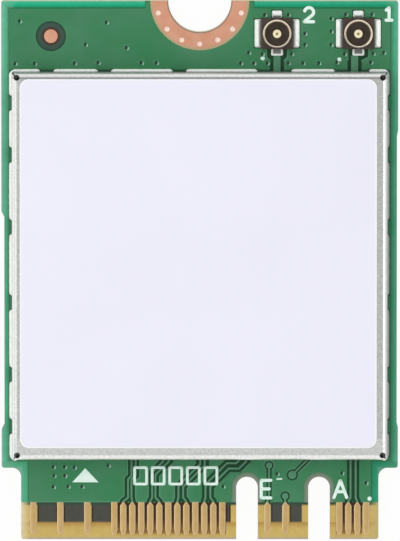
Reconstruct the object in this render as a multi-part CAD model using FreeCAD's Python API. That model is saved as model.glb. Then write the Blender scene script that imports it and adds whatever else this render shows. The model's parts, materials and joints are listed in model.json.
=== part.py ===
import FreeCAD, Part
import math
import os

Vec = FreeCAD.Vector

# All sizes are in millimetres. The card lies on its underside with its middle at the origin:
# +X towards contact 1, +Y towards the antenna end, +Z out of the component side.

# Board
board_length = 30.0
board_thickness = 0.80
copper_height = 0.03
corner_radius = 0.15
edge_margin = 0.42
recess_ramp = 0.30
left_recess_depth = 0.16
left_recess_from_top = 11.7
left_recess_from_end = 6.15
right_recess_depth = 0.07
right_recess_from_top = 7.2
right_recess_from_end = 6.25

# Edge connector
contact_count = 75
contact_pitch = 0.50
contact_width = 0.35
contact_setback = 0.27
contact_taper = 0.30
contact_end_width = 0.22
contact_tip_length = 0.20
mask_setback = 2.08
tongue_length = 4.0
tongue_side_margin = 0.50
shoulder_width = 1.075
tongue_fillet = 0.50
end_bevel = 0.15
key_slot_width = 1.20
key_slot_depth = 3.50
key_slot_margin = 0.28
key_pins = ((8, 15), (24, 31))
top_contact_runs = ((1, 7), (19, 19), (23, 23), (33, 57), (63, 63), (69, 69), (75, 75))
bottom_contact_runs = ((2, 6), (16, 22), (32, 74))

# Screw notch and its copper land
notch_radius = 1.75
land_ring_width = 1.00
land_collar = 0.28
land_via_radius = 0.125
land_via_inset = 0.35
land_via_count = 7
land_via_step = 24.5

# Alignment dot
fiducial_side_inset = 2.755
fiducial_end_inset = 1.97
fiducial_diameter = 0.75
fiducial_opening = 1.67

# Shield can
can_side_margin = 0.60
can_antenna_strip = 3.91
can_shoulder_margin = 0.565
can_height = 1.40
can_sheet = 0.15
can_inner_bend = 0.15
can_relief_radius = 0.15
can_relief_inset = 0.27
can_slit = 0.08
foot_gap_height = 0.40
side_gap_width = 0.80
side_gap_insets = (1.76, 4.65, 8.67)
end_gap_width = 0.78
end_gap_insets = (1.92, 5.12, 9.27)
feed_gap_width = 1.92
feed_gap_shift = 0.15
trace_gap_clearance = 0.35
foot_land_overhang = 0.18
foot_land_inner = 0.30
solder_width = 0.17
solder_height = 0.30
solder_shares = ((0.0, 1.0), (0.35, 0.45), (1.0, 0.12))

# Label on the shield
label_thickness = 0.08
label_margin = 0.52
label_corner_radius = 0.50
label_shift_x = -0.08
label_shift_y = 0.17

# Antenna receptacles
port_side_inset = 2.22
port_end_inset = 1.81
port_spacing = 4.50
port_base_rim = 0.07
port_base_height = 0.28
port_height = 0.60
ring_diameter = 1.58
ring_wall = 0.11
ring_groove_depth = 0.045
ring_groove_height = 0.30
ring_bead_height = 0.36
tab_thickness = 0.10
tab_setback = 0.02
side_tab_show = 0.26
side_tab_length = 1.44
end_tab_show = 0.28
end_tab_length = 0.44
pin_diameter = 0.47
pin_height = 0.45
pin_dimple_diameter = 0.16
pin_dimple_depth = 0.05
tail_thickness = 0.08
tail_width = 0.42
tail_show = 0.26
port_land_margin = 0.12
port_solder_width = 0.12
port_solder_lap = 0.18
port_solder_rise = 0.06

# Copper traces
trace_width = 0.10
pair_gap = 0.15
single_gap = 0.09
pad_stub = 0.04
pad_flare_height = 0.26
trace_tail = 0.50
feed_width = 0.38
feed_gap = 0.16
feed_flare_drop = 0.45
feed_flare_ramp = 0.20
feed_shifts = {1: -0.20, 2: 0.0}
feed_flares = {1: (0.35, 0.75), 2: (0.56, 0.56)}

# Each trace from a contact: sideways step to its lane, first slant, level run, second slant, last rise.
# The traces run in pairs, in this order.
trace_moves = {
    55: (0.27, 0.19, 0.0, 0.0, 1.01),
    53: (-0.04, 0.23, 0.0, 0.0, 0.98),
    49: (0.11, 0.59, 0.0, 0.0, 0.22),
    47: (-0.21, 0.74, 0.0, 0.0, 0.21),
    43: (0.07, 1.20, 0.0, 0.0, 0.36),
    41: (-0.17, 1.19, 0.0, 0.0, 0.43),
    37: (0.07, 1.19, 0.51, 0.20, 0.10),
    35: (-0.16, 1.02, 0.57, 0.40, 0.20),
    5: (0.125, 0.0, 0.0, 0.0, 0.0),
    3: (-0.09, 0.0, 0.0, 0.0, 0.0),
}

# Test points: one close to its contact, one near the shield, and a third on a slanted trace
near_point_pin = 19
far_point_pin = 23
point_radius = 0.18
near_point_rise = 0.35
far_point_shift = 0.10
far_point_below_can = 0.425
loose_point_shift = 0.39
loose_point_rise = 1.53
loose_point_radius = 0.235

# Parts under the shield
radio_chip_size = (9.0, 9.0, 0.75)
radio_chip_side_gap = 0.30
radio_chip_drop = 3.4
radio_chip_chamfer = 0.10
radio_chip_mark_radius = 0.30
radio_chip_mark_depth = 0.05
radio_chip_mark_inset = 0.90
front_end_size = (3.0, 4.0, 0.65)
front_end_chamfer = 0.08
diplexer_size = (1.25, 2.0, 0.60)
diplexer_inset = 1.30
diplexer_gap = 0.60
crystal_size = (2.5, 2.0, 0.45)
crystal_corner = 0.20
crystal_lid_height = 0.10
crystal_lid_margin = 0.12
crystal_gap = 0.70
inductor_size = (2.5, 2.0, 1.00)
inductor_edge = 0.20
inductor_gap = 0.50
chip_part_length = 1.00
chip_part_width = 0.50
capacitor_height = 0.50
resistor_height = 0.35
terminal_length = 0.25
terminal_plating = 0.02
capacitor_gap = 0.20
capacitor_count = 9
resistor_gap = 0.55
resistor_pitch = 1.00
resistor_count = 6

# Places that follow from the sizes above
top_y = board_length / 2
end_y = -top_y
shoulder_y = end_y + tongue_length
mask_y = end_y + mask_setback
tongue_half = (contact_count - 1) * contact_pitch / 4 + contact_width / 2 + tongue_side_margin
half_width = tongue_half + shoulder_width
core_low = copper_height
core_high = board_thickness - copper_height
surface = board_thickness
land_ring_outer = notch_radius + land_ring_width
can_half = half_width - can_side_margin
can_low_y = shoulder_y + can_shoulder_margin
can_high_y = top_y - can_antenna_strip
can_mid_y = (can_low_y + can_high_y) / 2
can_top = surface + can_height
can_bend_radius = can_inner_bend + can_sheet
port_base_half = ring_diameter / 2 + port_base_rim
tab_root = ring_diameter / 2 - ring_wall + tab_setback
side_tab_reach = port_base_half + side_tab_show
end_tab_reach = port_base_half + end_tab_show
tail_reach = port_base_half + tail_show
small_disc_sides = 8
overshoot = 1.0
touch = 1e-6


def point(x, y, z=0.0):
    return Vec(x, y, z)


def outline_face(corners):
    """Flat face inside a closed outline of (x, y, radius) corners, where radius 0 is sharp."""
    count = len(corners)
    arrivals = []
    arcs = []
    leavings = []
    for i in range(count):
        x, y, radius = corners[i]
        corner = point(x, y)
        back = point(*corners[i - 1][:2]) - corner
        ahead = point(*corners[(i + 1) % count][:2]) - corner
        if radius == 0:
            arrivals.append(corner)
            leavings.append(corner)
            arcs.append(None)
            continue
        half_angle = back.getAngle(ahead) / 2
        back.normalize()
        ahead.normalize()
        reach = radius / math.tan(half_angle)
        middle = back + ahead
        middle.normalize()
        arrivals.append(corner + back * reach)
        leavings.append(corner + ahead * reach)
        arcs.append(corner + middle * (radius / math.sin(half_angle) - radius))
    edges = []
    for i in range(count):
        if arcs[i] is not None:
            edges.append(Part.Arc(arrivals[i], arcs[i], leavings[i]).toShape())
        start = leavings[i]
        stop = arrivals[(i + 1) % count]
        if start.distanceToPoint(stop) > touch:
            edges.append(Part.LineSegment(start, stop).toShape())
    return Part.Face(Part.Wire(edges))


def polygon_face(points):
    return outline_face([(x, y, 0) for x, y in points])


def rectangle_face(x_low, x_high, y_low, y_high, radius=0.0):
    corners = ((x_low, y_low), (x_high, y_low), (x_high, y_high), (x_low, y_high))
    return outline_face([(x, y, radius) for x, y in corners])


def disc_face(x, y, radius):
    return Part.Face(Part.Wire(Part.makeCircle(radius, point(x, y))))


def small_disc_face(x, y, radius):
    """Round copper too small to need a true circle, drawn as a regular polygon."""
    angles = [2 * math.pi * i / small_disc_sides for i in range(small_disc_sides)]
    return polygon_face([(x + radius * math.cos(a), y + radius * math.sin(a)) for a in angles])


def ribbon_face(points, width):
    """Flat strip of one width along a bent line, with mitred bends and square ends."""
    path = [point(x, y) for x, y in points]
    runs = [path[i + 1] - path[i] for i in range(len(path) - 1)]
    normals = []
    for run in runs:
        run.normalize()
        normals.append(point(-run.y, run.x))
    left = []
    right = []
    for i in range(len(path)):
        before = normals[max(i - 1, 0)]
        after = normals[min(i, len(normals) - 1)]
        mitre = before + after
        mitre.normalize()
        offset = mitre * (width / 2 / mitre.dot(after))
        left.append(path[i] + offset)
        right.append(path[i] - offset)
    return polygon_face([(p.x, p.y) for p in left + right[::-1]])


def slab(face, low, high):
    """Flat faces at z = 0 raised to a plate between two levels."""
    lifted = face.copy()
    lifted.translate(point(0, 0, low))
    return lifted.extrude(point(0, 0, high - low))


def merged_slab(faces, low, high):
    """Overlapping flat faces raised to one plate."""
    plates = [slab(face, low, high) for face in faces]
    return plates[0].multiFuse(plates[1:]).removeSplitter()


def block(x_low, x_high, y_low, y_high, z_low, z_high):
    return Part.makeBox(x_high - x_low, y_high - y_low, z_high - z_low, point(x_low, y_low, z_low))


def seated_block(x, y, size, base=surface):
    """Block of (length, width, height) centred on a place and standing on a level."""
    length, width, height = size
    return block(x - length / 2, x + length / 2, y - width / 2, y + width / 2, base, base + height)


def turned(profile, x, y):
    """Revolve a face of the XZ plane about the upright axis through a place."""
    solid = profile.revolve(point(0, 0), point(0, 0, 1), 360)
    solid.translate(point(x, y))
    return solid


def edges_at(solid, level):
    return [e for e in solid.Edges if all(abs(v.Z - level) < touch for v in e.Vertexes)]


def group(shapes):
    return Part.makeCompound([s for shape in shapes for s in shape.Solids])


# Board


def contact_x(pin):
    """Odd contacts are on the component side and even ones underneath, half a pitch between."""
    return ((contact_count + 1) / 2 - pin) * contact_pitch / 2


def contact_pins(runs):
    return [pin for first, last in runs for pin in range(first, last + 1, 2)]


def key_x(pins):
    return (contact_x(pins[0]) + contact_x(pins[1])) / 2


def key_slot_face(pins, margin):
    """Full-round slot cut in from the contact end, optionally wider all round by a margin."""
    x = key_x(pins)
    half = key_slot_width / 2 + margin
    round_y = end_y + key_slot_depth - key_slot_width / 2
    straight = rectangle_face(x - half, x + half, end_y - overshoot, round_y)
    return straight.fuse(disc_face(x, round_y, half))


def board_outline():
    """Card outline: tongue, shoulders and the shallow recesses along both long edges."""
    left_x = -half_width + left_recess_depth
    left_high = top_y - left_recess_from_top
    left_low = end_y + left_recess_from_end
    right_x = half_width - right_recess_depth
    right_high = top_y - right_recess_from_top
    right_low = end_y + right_recess_from_end
    fillet = min(tongue_fillet, (half_width - tongue_half) / 2)
    return outline_face([
        (tongue_half, end_y, corner_radius),
        (tongue_half, shoulder_y, fillet),
        (half_width, shoulder_y, corner_radius),
        (half_width, right_low, 0),
        (right_x, right_low + recess_ramp, 0),
        (right_x, right_high - recess_ramp, 0),
        (half_width, right_high, 0),
        (half_width, top_y, corner_radius),
        (-half_width, top_y, corner_radius),
        (-half_width, left_high, 0),
        (left_x, left_high - recess_ramp, 0),
        (left_x, left_low + recess_ramp, 0),
        (-half_width, left_low, 0),
        (-half_width, shoulder_y, corner_radius),
        (-tongue_half, shoulder_y, fillet),
        (-tongue_half, end_y, corner_radius),
    ])


def land_via_faces():
    """Row of through holes that stitch the two copper lands together."""
    radius = land_ring_outer - land_via_inset
    faces = []
    for i in range(land_via_count):
        angle = math.radians((i - (land_via_count - 1) / 2) * land_via_step - 90)
        x = radius * math.cos(angle)
        y = top_y + radius * math.sin(angle)
        faces.append(small_disc_face(x, y, land_via_radius))
    return faces


def plane_face():
    """Copper plane of one side: held back from the edges and slots, open round the screw land."""
    inner = half_width - edge_margin
    tongue_inner = tongue_half - edge_margin
    step_y = shoulder_y + edge_margin
    plane = polygon_face([
        (tongue_inner, mask_y),
        (tongue_inner, step_y),
        (inner, step_y),
        (inner, top_y - edge_margin),
        (-inner, top_y - edge_margin),
        (-inner, step_y),
        (-tongue_inner, step_y),
        (-tongue_inner, mask_y),
    ])
    collar_radius = land_ring_outer + land_collar
    below_top = rectangle_face(-collar_radius, collar_radius, top_y - collar_radius, top_y)
    collar = disc_face(0, top_y, collar_radius).common(below_top)
    openings = [disc_face(0, top_y, land_ring_outer)]
    openings += [key_slot_face(pins, key_slot_margin) for pins in key_pins]
    return plane.fuse(collar).removeSplitter().cut(openings)


def bevel_wedge(level, outward):
    """Prism that bevels the contact end along one face of the board."""
    profile = [
        (end_y + end_bevel, level),
        (end_y - end_bevel, level - outward * 2 * end_bevel),
        (end_y - end_bevel, level + outward * end_bevel),
        (end_y + end_bevel, level + outward * end_bevel),
    ]
    corners = [point(-half_width, y, z) for y, z in profile]
    face = Part.Face(Part.makePolygon(corners + corners[:1]))
    return face.extrude(point(2 * half_width, 0, 0))


def circuit_board():
    """Laminate with its mask; the plane under the mask stands proud on the underside."""
    cuts = [disc_face(0, top_y, notch_radius)]
    cuts += [key_slot_face(pins, 0) for pins in key_pins]
    cuts += land_via_faces()
    core = slab(board_outline().cut(cuts), core_low, core_high)
    core = core.cut([bevel_wedge(core_high, 1), bevel_wedge(core_low, -1)])
    return core.fuse(slab(plane_face(), 0, core_low)).removeSplitter()


def contact_face(pin, pointed):
    """One gold finger, tapered at the end and pointed where a trace leaves it."""
    x = contact_x(pin)
    half = contact_width / 2
    end_half = contact_end_width / 2
    tip_half = trace_width / 2
    low = end_y + contact_setback
    side = [(half, low + contact_taper), (half, mask_y)]
    if pointed:
        side = [side[0], (half, mask_y - contact_tip_length), (tip_half, mask_y)]
    right = [(end_half, low)] + side
    return polygon_face([(x + u, y) for u, y in right] + [(x - u, y) for u, y in right[::-1]])


def contact_fingers_top():
    pointed = set(trace_moves) | {near_point_pin, far_point_pin}
    faces = [contact_face(pin, pin in pointed) for pin in contact_pins(top_contact_runs)]
    return group([slab(face, core_high, surface) for face in faces])


def contact_fingers_bottom():
    faces = [contact_face(pin, False) for pin in contact_pins(bottom_contact_runs)]
    return group([slab(face, 0, core_low) for face in faces])


def mounting_pad(low, high):
    """Bare copper half ring round the screw notch."""
    below_top = rectangle_face(-land_ring_outer, land_ring_outer, top_y - land_ring_outer, top_y)
    ring = disc_face(0, top_y, land_ring_outer).common(below_top)
    return slab(ring.cut([disc_face(0, top_y, notch_radius)] + land_via_faces()), low, high)


fiducial_x = -half_width + fiducial_side_inset
fiducial_y = top_y - fiducial_end_inset


def fiducial_dot():
    return slab(disc_face(fiducial_x, fiducial_y, fiducial_diameter / 2), core_high, surface)


# Antenna receptacle places, counted from the corner of the card

port_x = {1: half_width - port_side_inset, 2: half_width - port_side_inset - port_spacing}
port_y = top_y - port_end_inset
feed_x = {port: port_x[port] + feed_shifts[port] for port in port_x}
feed_end_y = can_high_y - diplexer_inset
signal_land_y = port_y - tail_reach - port_land_margin


# Copper traces


def trace_path(pin):
    """Points of one trace from its contact's tip to its end under the shield."""
    lane, slant, level, second_slant, last_rise = trace_moves[pin]
    x = contact_x(pin)
    y = can_low_y - last_rise - second_slant - slant
    points = [(x, mask_y), (x, mask_y + pad_stub), (x + lane, mask_y + pad_flare_height), (x + lane, y)]
    points.append((x + lane + slant, y + slant))
    points.append((x + lane + slant + level, y + slant))
    points.append((x + lane + slant + level + second_slant, y + slant + second_slant))
    points.append((points[-1][0], can_low_y + trace_tail))
    path = points[:1]
    for place in points[1:]:
        if math.dist(place, path[-1]) > touch:
            path.append(place)
    return path


loose_point = (contact_x(near_point_pin) + loose_point_shift, mask_y + loose_point_rise)
loose_run = can_low_y + trace_tail - loose_point[1]
loose_path = [loose_point, (loose_point[0] + loose_run, loose_point[1] + loose_run)]
near_point = (contact_x(near_point_pin), mask_y + near_point_rise)
near_path = [(near_point[0], mask_y), near_point]
far_point = (contact_x(far_point_pin) + far_point_shift, can_low_y - far_point_below_can)
far_path = [
    (contact_x(far_point_pin), mask_y),
    (contact_x(far_point_pin), mask_y + pad_stub),
    (far_point[0], mask_y + pad_flare_height),
    far_point,
]


def contact_trace_face(pin, gap):
    """Trace of one contact, or with a gap the trench that clears it."""
    return ribbon_face(trace_path(pin), trace_width + 2 * gap)


def point_faces(gap):
    """Three test points with their traces, or with a gap the trenches that clear them."""
    width = trace_width + 2 * gap
    return [
        [ribbon_face(near_path, width), small_disc_face(*near_point, point_radius + gap)],
        [ribbon_face(far_path, width), small_disc_face(*far_point, point_radius + gap)],
        [ribbon_face(loose_path, width), small_disc_face(*loose_point, loose_point_radius + gap)],
    ]


def feed_face(port):
    """Radio feed line from the receptacle's signal land to the diplexer."""
    x = feed_x[port]
    return rectangle_face(x - feed_width / 2, x + feed_width / 2, feed_end_y, signal_land_y)


def feed_trench_face(port):
    """Clearance round a feed line, flared where it meets the receptacle's signal land."""
    x = feed_x[port]
    half = feed_width / 2 + feed_gap
    left, right = feed_flares[port]
    high = port_y - port_base_half
    low = high - feed_flare_drop
    return polygon_face([
        (x - half, feed_end_y),
        (x + half, feed_end_y),
        (x + half, low - feed_flare_ramp),
        (x + right, low),
        (x + right, high),
        (x - left, high),
        (x - left, low),
        (x - half, low - feed_flare_ramp),
    ])


def signal_traces():
    pieces = [[contact_trace_face(pin, 0)] for pin in trace_moves]
    pieces += point_faces(0)
    pieces += [[feed_face(port)] for port in port_x]
    return group([merged_slab(faces, core_high, surface) for faces in pieces])


def ground_pour():
    """Masked copper plane of the component side, opened round everything else in its layer."""
    openings = [contact_trace_face(pin, pair_gap) for pin in trace_moves]
    openings += [face for faces in point_faces(single_gap) for face in faces]
    openings += [feed_trench_face(port) for port in port_x]
    openings += [disc_face(fiducial_x, fiducial_y, fiducial_opening / 2)]
    openings += foot_land_faces()
    openings += [face for port in port_x for face in port_land_faces(port)]
    return group([slab(plane_face().cut(openings), core_high, surface)])


# Shield can


def wall_gaps():
    """Openings under each wall, as (start, stop) along it."""
    side = []
    for inset in side_gap_insets:
        for y in (can_low_y + inset, can_high_y - inset):
            side.append((y - side_gap_width / 2, y + side_gap_width / 2))
    end = []
    for inset in end_gap_insets:
        x = -can_half + inset
        end.append((x - end_gap_width / 2, x + end_gap_width / 2))
    for x in feed_x.values():
        middle = x - feed_gap_shift
        end.append((middle - feed_gap_width / 2, middle + feed_gap_width / 2))
    contact_side = []
    pins = list(trace_moves)
    for pair in zip(pins[::2], pins[1::2]):
        exits = [trace_path(pin)[-1][0] for pin in pair]
        contact_side.append((min(exits) - trace_gap_clearance, max(exits) + trace_gap_clearance))
    loose_x = loose_point[0] + can_low_y - loose_point[1]
    contact_side.append((loose_x - trace_gap_clearance, loose_x + foot_land_inner + trace_gap_clearance))
    return {"left": side, "right": side, "antenna": end, "contact": contact_side}


def wall_rectangle(wall, start, stop, outer, inner):
    """Rectangle along one wall, reaching out from and in from the wall's outer face."""
    if wall == "left":
        return (-can_half - outer, -can_half + inner, start, stop)
    if wall == "right":
        return (can_half - inner, can_half + outer, start, stop)
    if wall == "antenna":
        return (start, stop, can_high_y - inner, can_high_y + outer)
    return (start, stop, can_low_y - outer, can_low_y + inner)


def wall_ends(wall):
    if wall in ("left", "right"):
        return can_low_y, can_high_y
    return -can_half, can_half


def foot_spans(wall):
    """What stands on the board between the gaps of one wall."""
    start, last = wall_ends(wall)
    spans = []
    for gap_start, gap_stop in sorted(wall_gaps()[wall]):
        if gap_start > start:
            spans.append((start, gap_start))
        start = max(start, gap_stop)
    if last > start:
        spans.append((start, last))
    return spans


def foot_land_faces():
    """Tinned lands under the feet; only the contact side has none outside the wall."""
    faces = []
    for wall in wall_gaps():
        outer = 0 if wall == "contact" else foot_land_overhang
        for start, stop in foot_spans(wall):
            faces.append(rectangle_face(*wall_rectangle(wall, start, stop, outer, foot_land_inner)))
    return faces


def shield_lands():
    return group([merged_slab(foot_land_faces(), core_high, surface)])


def bent_arch(half, reach, high, bend):
    """Block under a plate bent down at both ends, running along Y and centred on the origin."""
    face = outline_face([(-half, 0, 0), (half, 0, 0), (half, high, bend), (-half, high, bend)])
    arch = slab(face, -reach, reach)
    arch.rotate(point(0, 0), point(1, 0, 0), 90)
    return arch


def can_body(inset, bend):
    """Block inside two pairs of walls, each bent down from the top, with mitred corners."""
    x_half = can_half - inset
    y_half = (can_high_y - can_low_y) / 2 - inset
    high = can_height - inset
    across = bent_arch(x_half, y_half, high, bend)
    along = bent_arch(y_half, x_half, high, bend)
    along.rotate(point(0, 0), point(0, 0, 1), 90)
    body = across.common(along)
    body.translate(point(0, can_mid_y, surface))
    return body


def corner_relief(x_side, y_side):
    """Round relief at a folded corner and the slit between the two walls below it."""
    corner_y = can_high_y if y_side > 0 else can_low_y
    x = x_side * (can_half - can_relief_inset)
    y = corner_y - y_side * can_relief_inset
    hole = slab(small_disc_face(x, y, can_relief_radius), can_top - can_bend_radius, can_top + overshoot)
    reach = can_relief_inset * math.sqrt(2)
    slit = block(0, reach, -can_slit / 2, can_slit / 2, surface - overshoot, can_top + overshoot)
    slit.rotate(point(0, 0), point(0, 0, 1), math.degrees(math.atan2(y_side, x_side)))
    slit.translate(point(x, y))
    return hole.fuse(slit)


def shield_can():
    """Folded sheet lid with castellated feet."""
    shell = can_body(0, can_bend_radius).cut(can_body(can_sheet, can_inner_bend))
    cuts = [corner_relief(x_side, y_side) for x_side in (-1, 1) for y_side in (-1, 1)]
    for wall, gaps in wall_gaps().items():
        for start, stop in gaps:
            opening = wall_rectangle(wall, start, stop, overshoot, 2 * can_sheet)
            cuts.append(block(*opening, surface - overshoot, surface + foot_gap_height))
    return shell.cut(cuts).removeSplitter()


def solder_section(share, level):
    """Outline of the solder bead at one level, as a share of its width at the board."""
    reach = solder_width * share
    face = rectangle_face(
        -can_half - reach, can_half + reach, can_low_y - reach, can_high_y + reach, solder_width
    )
    face.translate(point(0, 0, level))
    return face.OuterWire


def shield_solder():
    """Hollow-sided solder fillets along the feet of three walls, wrapping round the corners."""
    wires = [solder_section(share, surface + rise * solder_height) for rise, share in solder_shares]
    bead = Part.makeLoft(wires, True, True)
    cuts = [block(-can_half, can_half, can_low_y, can_high_y, surface - overshoot, can_top)]
    for wall, gaps in wall_gaps().items():
        for start, stop in gaps:
            opening = wall_rectangle(wall, start, stop, overshoot, overshoot)
            cuts.append(block(*opening, surface - overshoot, can_top))
    bare = wall_rectangle("contact", -can_half + can_bend_radius, can_half - can_bend_radius, overshoot, 0)
    cuts.append(block(*bare, surface - overshoot, can_top))
    return group([bead.cut(cuts)])


def label():
    """Blank adhesive label on the flat of the shield."""
    face = rectangle_face(
        -can_half + label_margin + label_shift_x,
        can_half - label_margin + label_shift_x,
        can_low_y + label_margin + label_shift_y,
        can_high_y - label_margin + label_shift_y,
        label_corner_radius,
    )
    return slab(face, can_top, can_top + label_thickness)


# Antenna receptacles


def port_land_rectangles():
    """Lands of one receptacle about its middle: two sides, the end tab and the signal tail."""
    side = side_tab_length / 2 + port_land_margin / 2
    end = end_tab_length / 2 + port_land_margin / 2
    tail = tail_width / 2 + port_land_margin
    side_reach = side_tab_reach + port_land_margin
    return {
        "right": (port_base_half, side_reach, -side, side),
        "left": (-side_reach, -port_base_half, -side, side),
        "end": (-end, end, port_base_half, end_tab_reach + port_land_margin),
        "signal": (-tail, tail, -tail_reach - port_land_margin, -port_base_half),
    }


def port_land_faces(port):
    faces = []
    for x_low, x_high, y_low, y_high in port_land_rectangles().values():
        face = rectangle_face(x_low, x_high, y_low, y_high)
        face.translate(point(port_x[port], port_y))
        faces.append(face)
    return faces


def antenna_lands():
    return group([slab(face, core_high, surface) for port in port_x for face in port_land_faces(port)])


def ring_profile():
    """Section of the snap ring: flared foot, groove, straight bead and bevelled lip."""
    outer = ring_diameter / 2
    inner = outer - ring_wall
    groove = outer - ring_groove_depth
    lip = surface + port_height - ring_wall / 2
    chain = [
        point(inner, 0, lip),
        point(inner, 0, surface + tab_thickness),
        point(outer - ring_groove_depth / 2, 0, surface + tab_thickness),
        point(groove, 0, surface + ring_groove_height),
        point(outer, 0, surface + ring_bead_height),
        point(outer, 0, lip),
    ]
    crest = point((inner + outer) / 2, 0, surface + port_height)
    return Part.Face(Part.makePolygon(chain + [crest, chain[0]]))


def antenna_shell(port):
    """Ground contact: the snap ring with a soldering tab on three sides."""
    x = port_x[port]
    ring = turned(ring_profile(), x, port_y)
    side = side_tab_length / 2
    end = end_tab_length / 2
    top = surface + tab_thickness
    tabs = [
        block(x + tab_root, x + side_tab_reach, port_y - side, port_y + side, surface, top),
        block(x - side_tab_reach, x - tab_root, port_y - side, port_y + side, surface, top),
        block(x - end, x + end, port_y + tab_root, port_y + end_tab_reach, surface, top),
    ]
    return ring.fuse(tabs).removeSplitter()


def antenna_pin(port):
    """Centre contact with a dimpled top and a flat tail to the signal land."""
    x = port_x[port]
    radius = pin_diameter / 2
    post = Part.makeCylinder(radius, pin_height, point(x, port_y, surface))
    top = surface + pin_height
    dimple_face = small_disc_face(x, port_y, pin_dimple_diameter / 2)
    dimple = slab(dimple_face, top - pin_dimple_depth, top + overshoot)
    half = tail_width / 2
    tail = block(x - half, x + half, port_y - tail_reach, port_y, surface, surface + tail_thickness)
    return post.fuse(tail).cut(dimple).removeSplitter()


def antenna_base(port, shell, pin):
    """Moulded insulator, open inside the ring down to its tabs and moulded round them and the pin."""
    size = (2 * port_base_half, 2 * port_base_half, port_base_height)
    body = seated_block(port_x[port], port_y, size)
    well_radius = (ring_diameter - ring_wall) / 2
    floor = point(port_x[port], port_y, surface + tab_thickness)
    well = Part.makeCylinder(well_radius, port_height, floor)
    return body.cut([well, shell, pin]).removeSplitter()


def tab_solder(reach, half_length, height):
    """Solder lapped over the end of a tab that points along +X."""
    profile = [
        (reach - port_solder_lap, height),
        (reach - port_solder_lap / 2, height + port_solder_rise),
        (reach + port_solder_width / 2, height),
        (reach + port_solder_width, 0),
        (reach, 0),
        (reach, height),
    ]
    corners = [point(u, -half_length, surface + z) for u, z in profile]
    face = Part.Face(Part.makePolygon(corners + corners[:1]))
    return face.extrude(point(0, 2 * half_length, 0))


def antenna_solder():
    """Solder on the three tabs and the tail of each receptacle."""
    joints = [
        (0, side_tab_reach, side_tab_length / 2, tab_thickness),
        (90, end_tab_reach, end_tab_length / 2, tab_thickness),
        (180, side_tab_reach, side_tab_length / 2, tab_thickness),
        (270, tail_reach, tail_width / 2, tail_thickness),
    ]
    beads = []
    for port in port_x:
        for angle, reach, half_length, height in joints:
            bead = tab_solder(reach, half_length, height)
            bead.rotate(point(0, 0), point(0, 0, 1), angle)
            bead.translate(point(port_x[port], port_y))
            beads.append(bead)
    return group(beads)


# Parts under the shield

radio_right = feed_x[2] - front_end_size[0] / 2 - radio_chip_side_gap
radio_left = radio_right - radio_chip_size[0]
radio_x = (radio_left + radio_right) / 2
radio_y = can_mid_y - radio_chip_drop
radio_high = radio_y + radio_chip_size[1] / 2
capacitor_y = radio_high + capacitor_gap + chip_part_length / 2
diplexer_y = feed_end_y - diplexer_size[1] / 2
front_end_y = diplexer_y - diplexer_size[1] / 2 - diplexer_gap - front_end_size[1] / 2


def chamfered_package(x, y, size, chamfer):
    body = seated_block(x, y, size)
    return body.makeChamfer(chamfer, edges_at(body, surface + size[2]))


def corner_cut_block(x, y, size, cut):
    """Block with its four upright edges cut off."""
    body = seated_block(x, y, size)
    upright = [e for e in body.Edges if abs(e.tangentAt(e.FirstParameter).z) > 0.5]
    return body.makeChamfer(cut, upright)


def radio_chip():
    """Square package with a round mark at its first terminal."""
    body = chamfered_package(radio_x, radio_y, radio_chip_size, radio_chip_chamfer)
    high = surface + radio_chip_size[2]
    x = radio_left + radio_chip_mark_inset
    y = radio_high - radio_chip_mark_inset
    mark = small_disc_face(x, y, radio_chip_mark_radius)
    return body.cut(slab(mark, high - radio_chip_mark_depth, high + overshoot))


def front_end_module(port):
    return chamfered_package(feed_x[port], front_end_y, front_end_size, front_end_chamfer)


def diplexer(port):
    return seated_block(feed_x[port], diplexer_y, diplexer_size)


crystal_x = radio_right + crystal_gap + crystal_size[0] / 2
crystal_y = radio_y - chip_part_length / 2 - crystal_gap - crystal_size[1] / 2


def crystal_base():
    return corner_cut_block(crystal_x, crystal_y, crystal_size, crystal_corner)


def crystal_lid():
    length, width, height = crystal_size
    size = (length - 2 * crystal_lid_margin, width - 2 * crystal_lid_margin, crystal_lid_height)
    return seated_block(crystal_x, crystal_y, size, surface + height)


def power_inductor(index):
    length, width, height = inductor_size
    x = radio_left + length / 2 + index * (length + inductor_gap)
    y = capacitor_y + chip_part_length / 2 + inductor_gap + width / 2
    return corner_cut_block(x, y, inductor_size, inductor_edge)


def chip_part(x, y, height):
    """Two-terminal chip part across Y: its body and its two plated ends."""
    body_length = chip_part_length - 2 * terminal_length
    width = chip_part_width - 2 * terminal_plating
    body = seated_block(x, y, (width, body_length, height - terminal_plating))
    middle = (body_length + terminal_length) / 2
    ends = [
        seated_block(x, y + side * middle, (chip_part_width, terminal_length, height)) for side in (-1, 1)
    ]
    return body, ends


def chip_row(x, y, count, pitch, height):
    """Row of chip parts along +X from a first place, as two groups: bodies and terminals."""
    parts = [chip_part(x + i * pitch, y, height) for i in range(count)]
    bodies = group([body for body, ends in parts])
    terminals = group([end for body, ends in parts for end in ends])
    return bodies, terminals


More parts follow.
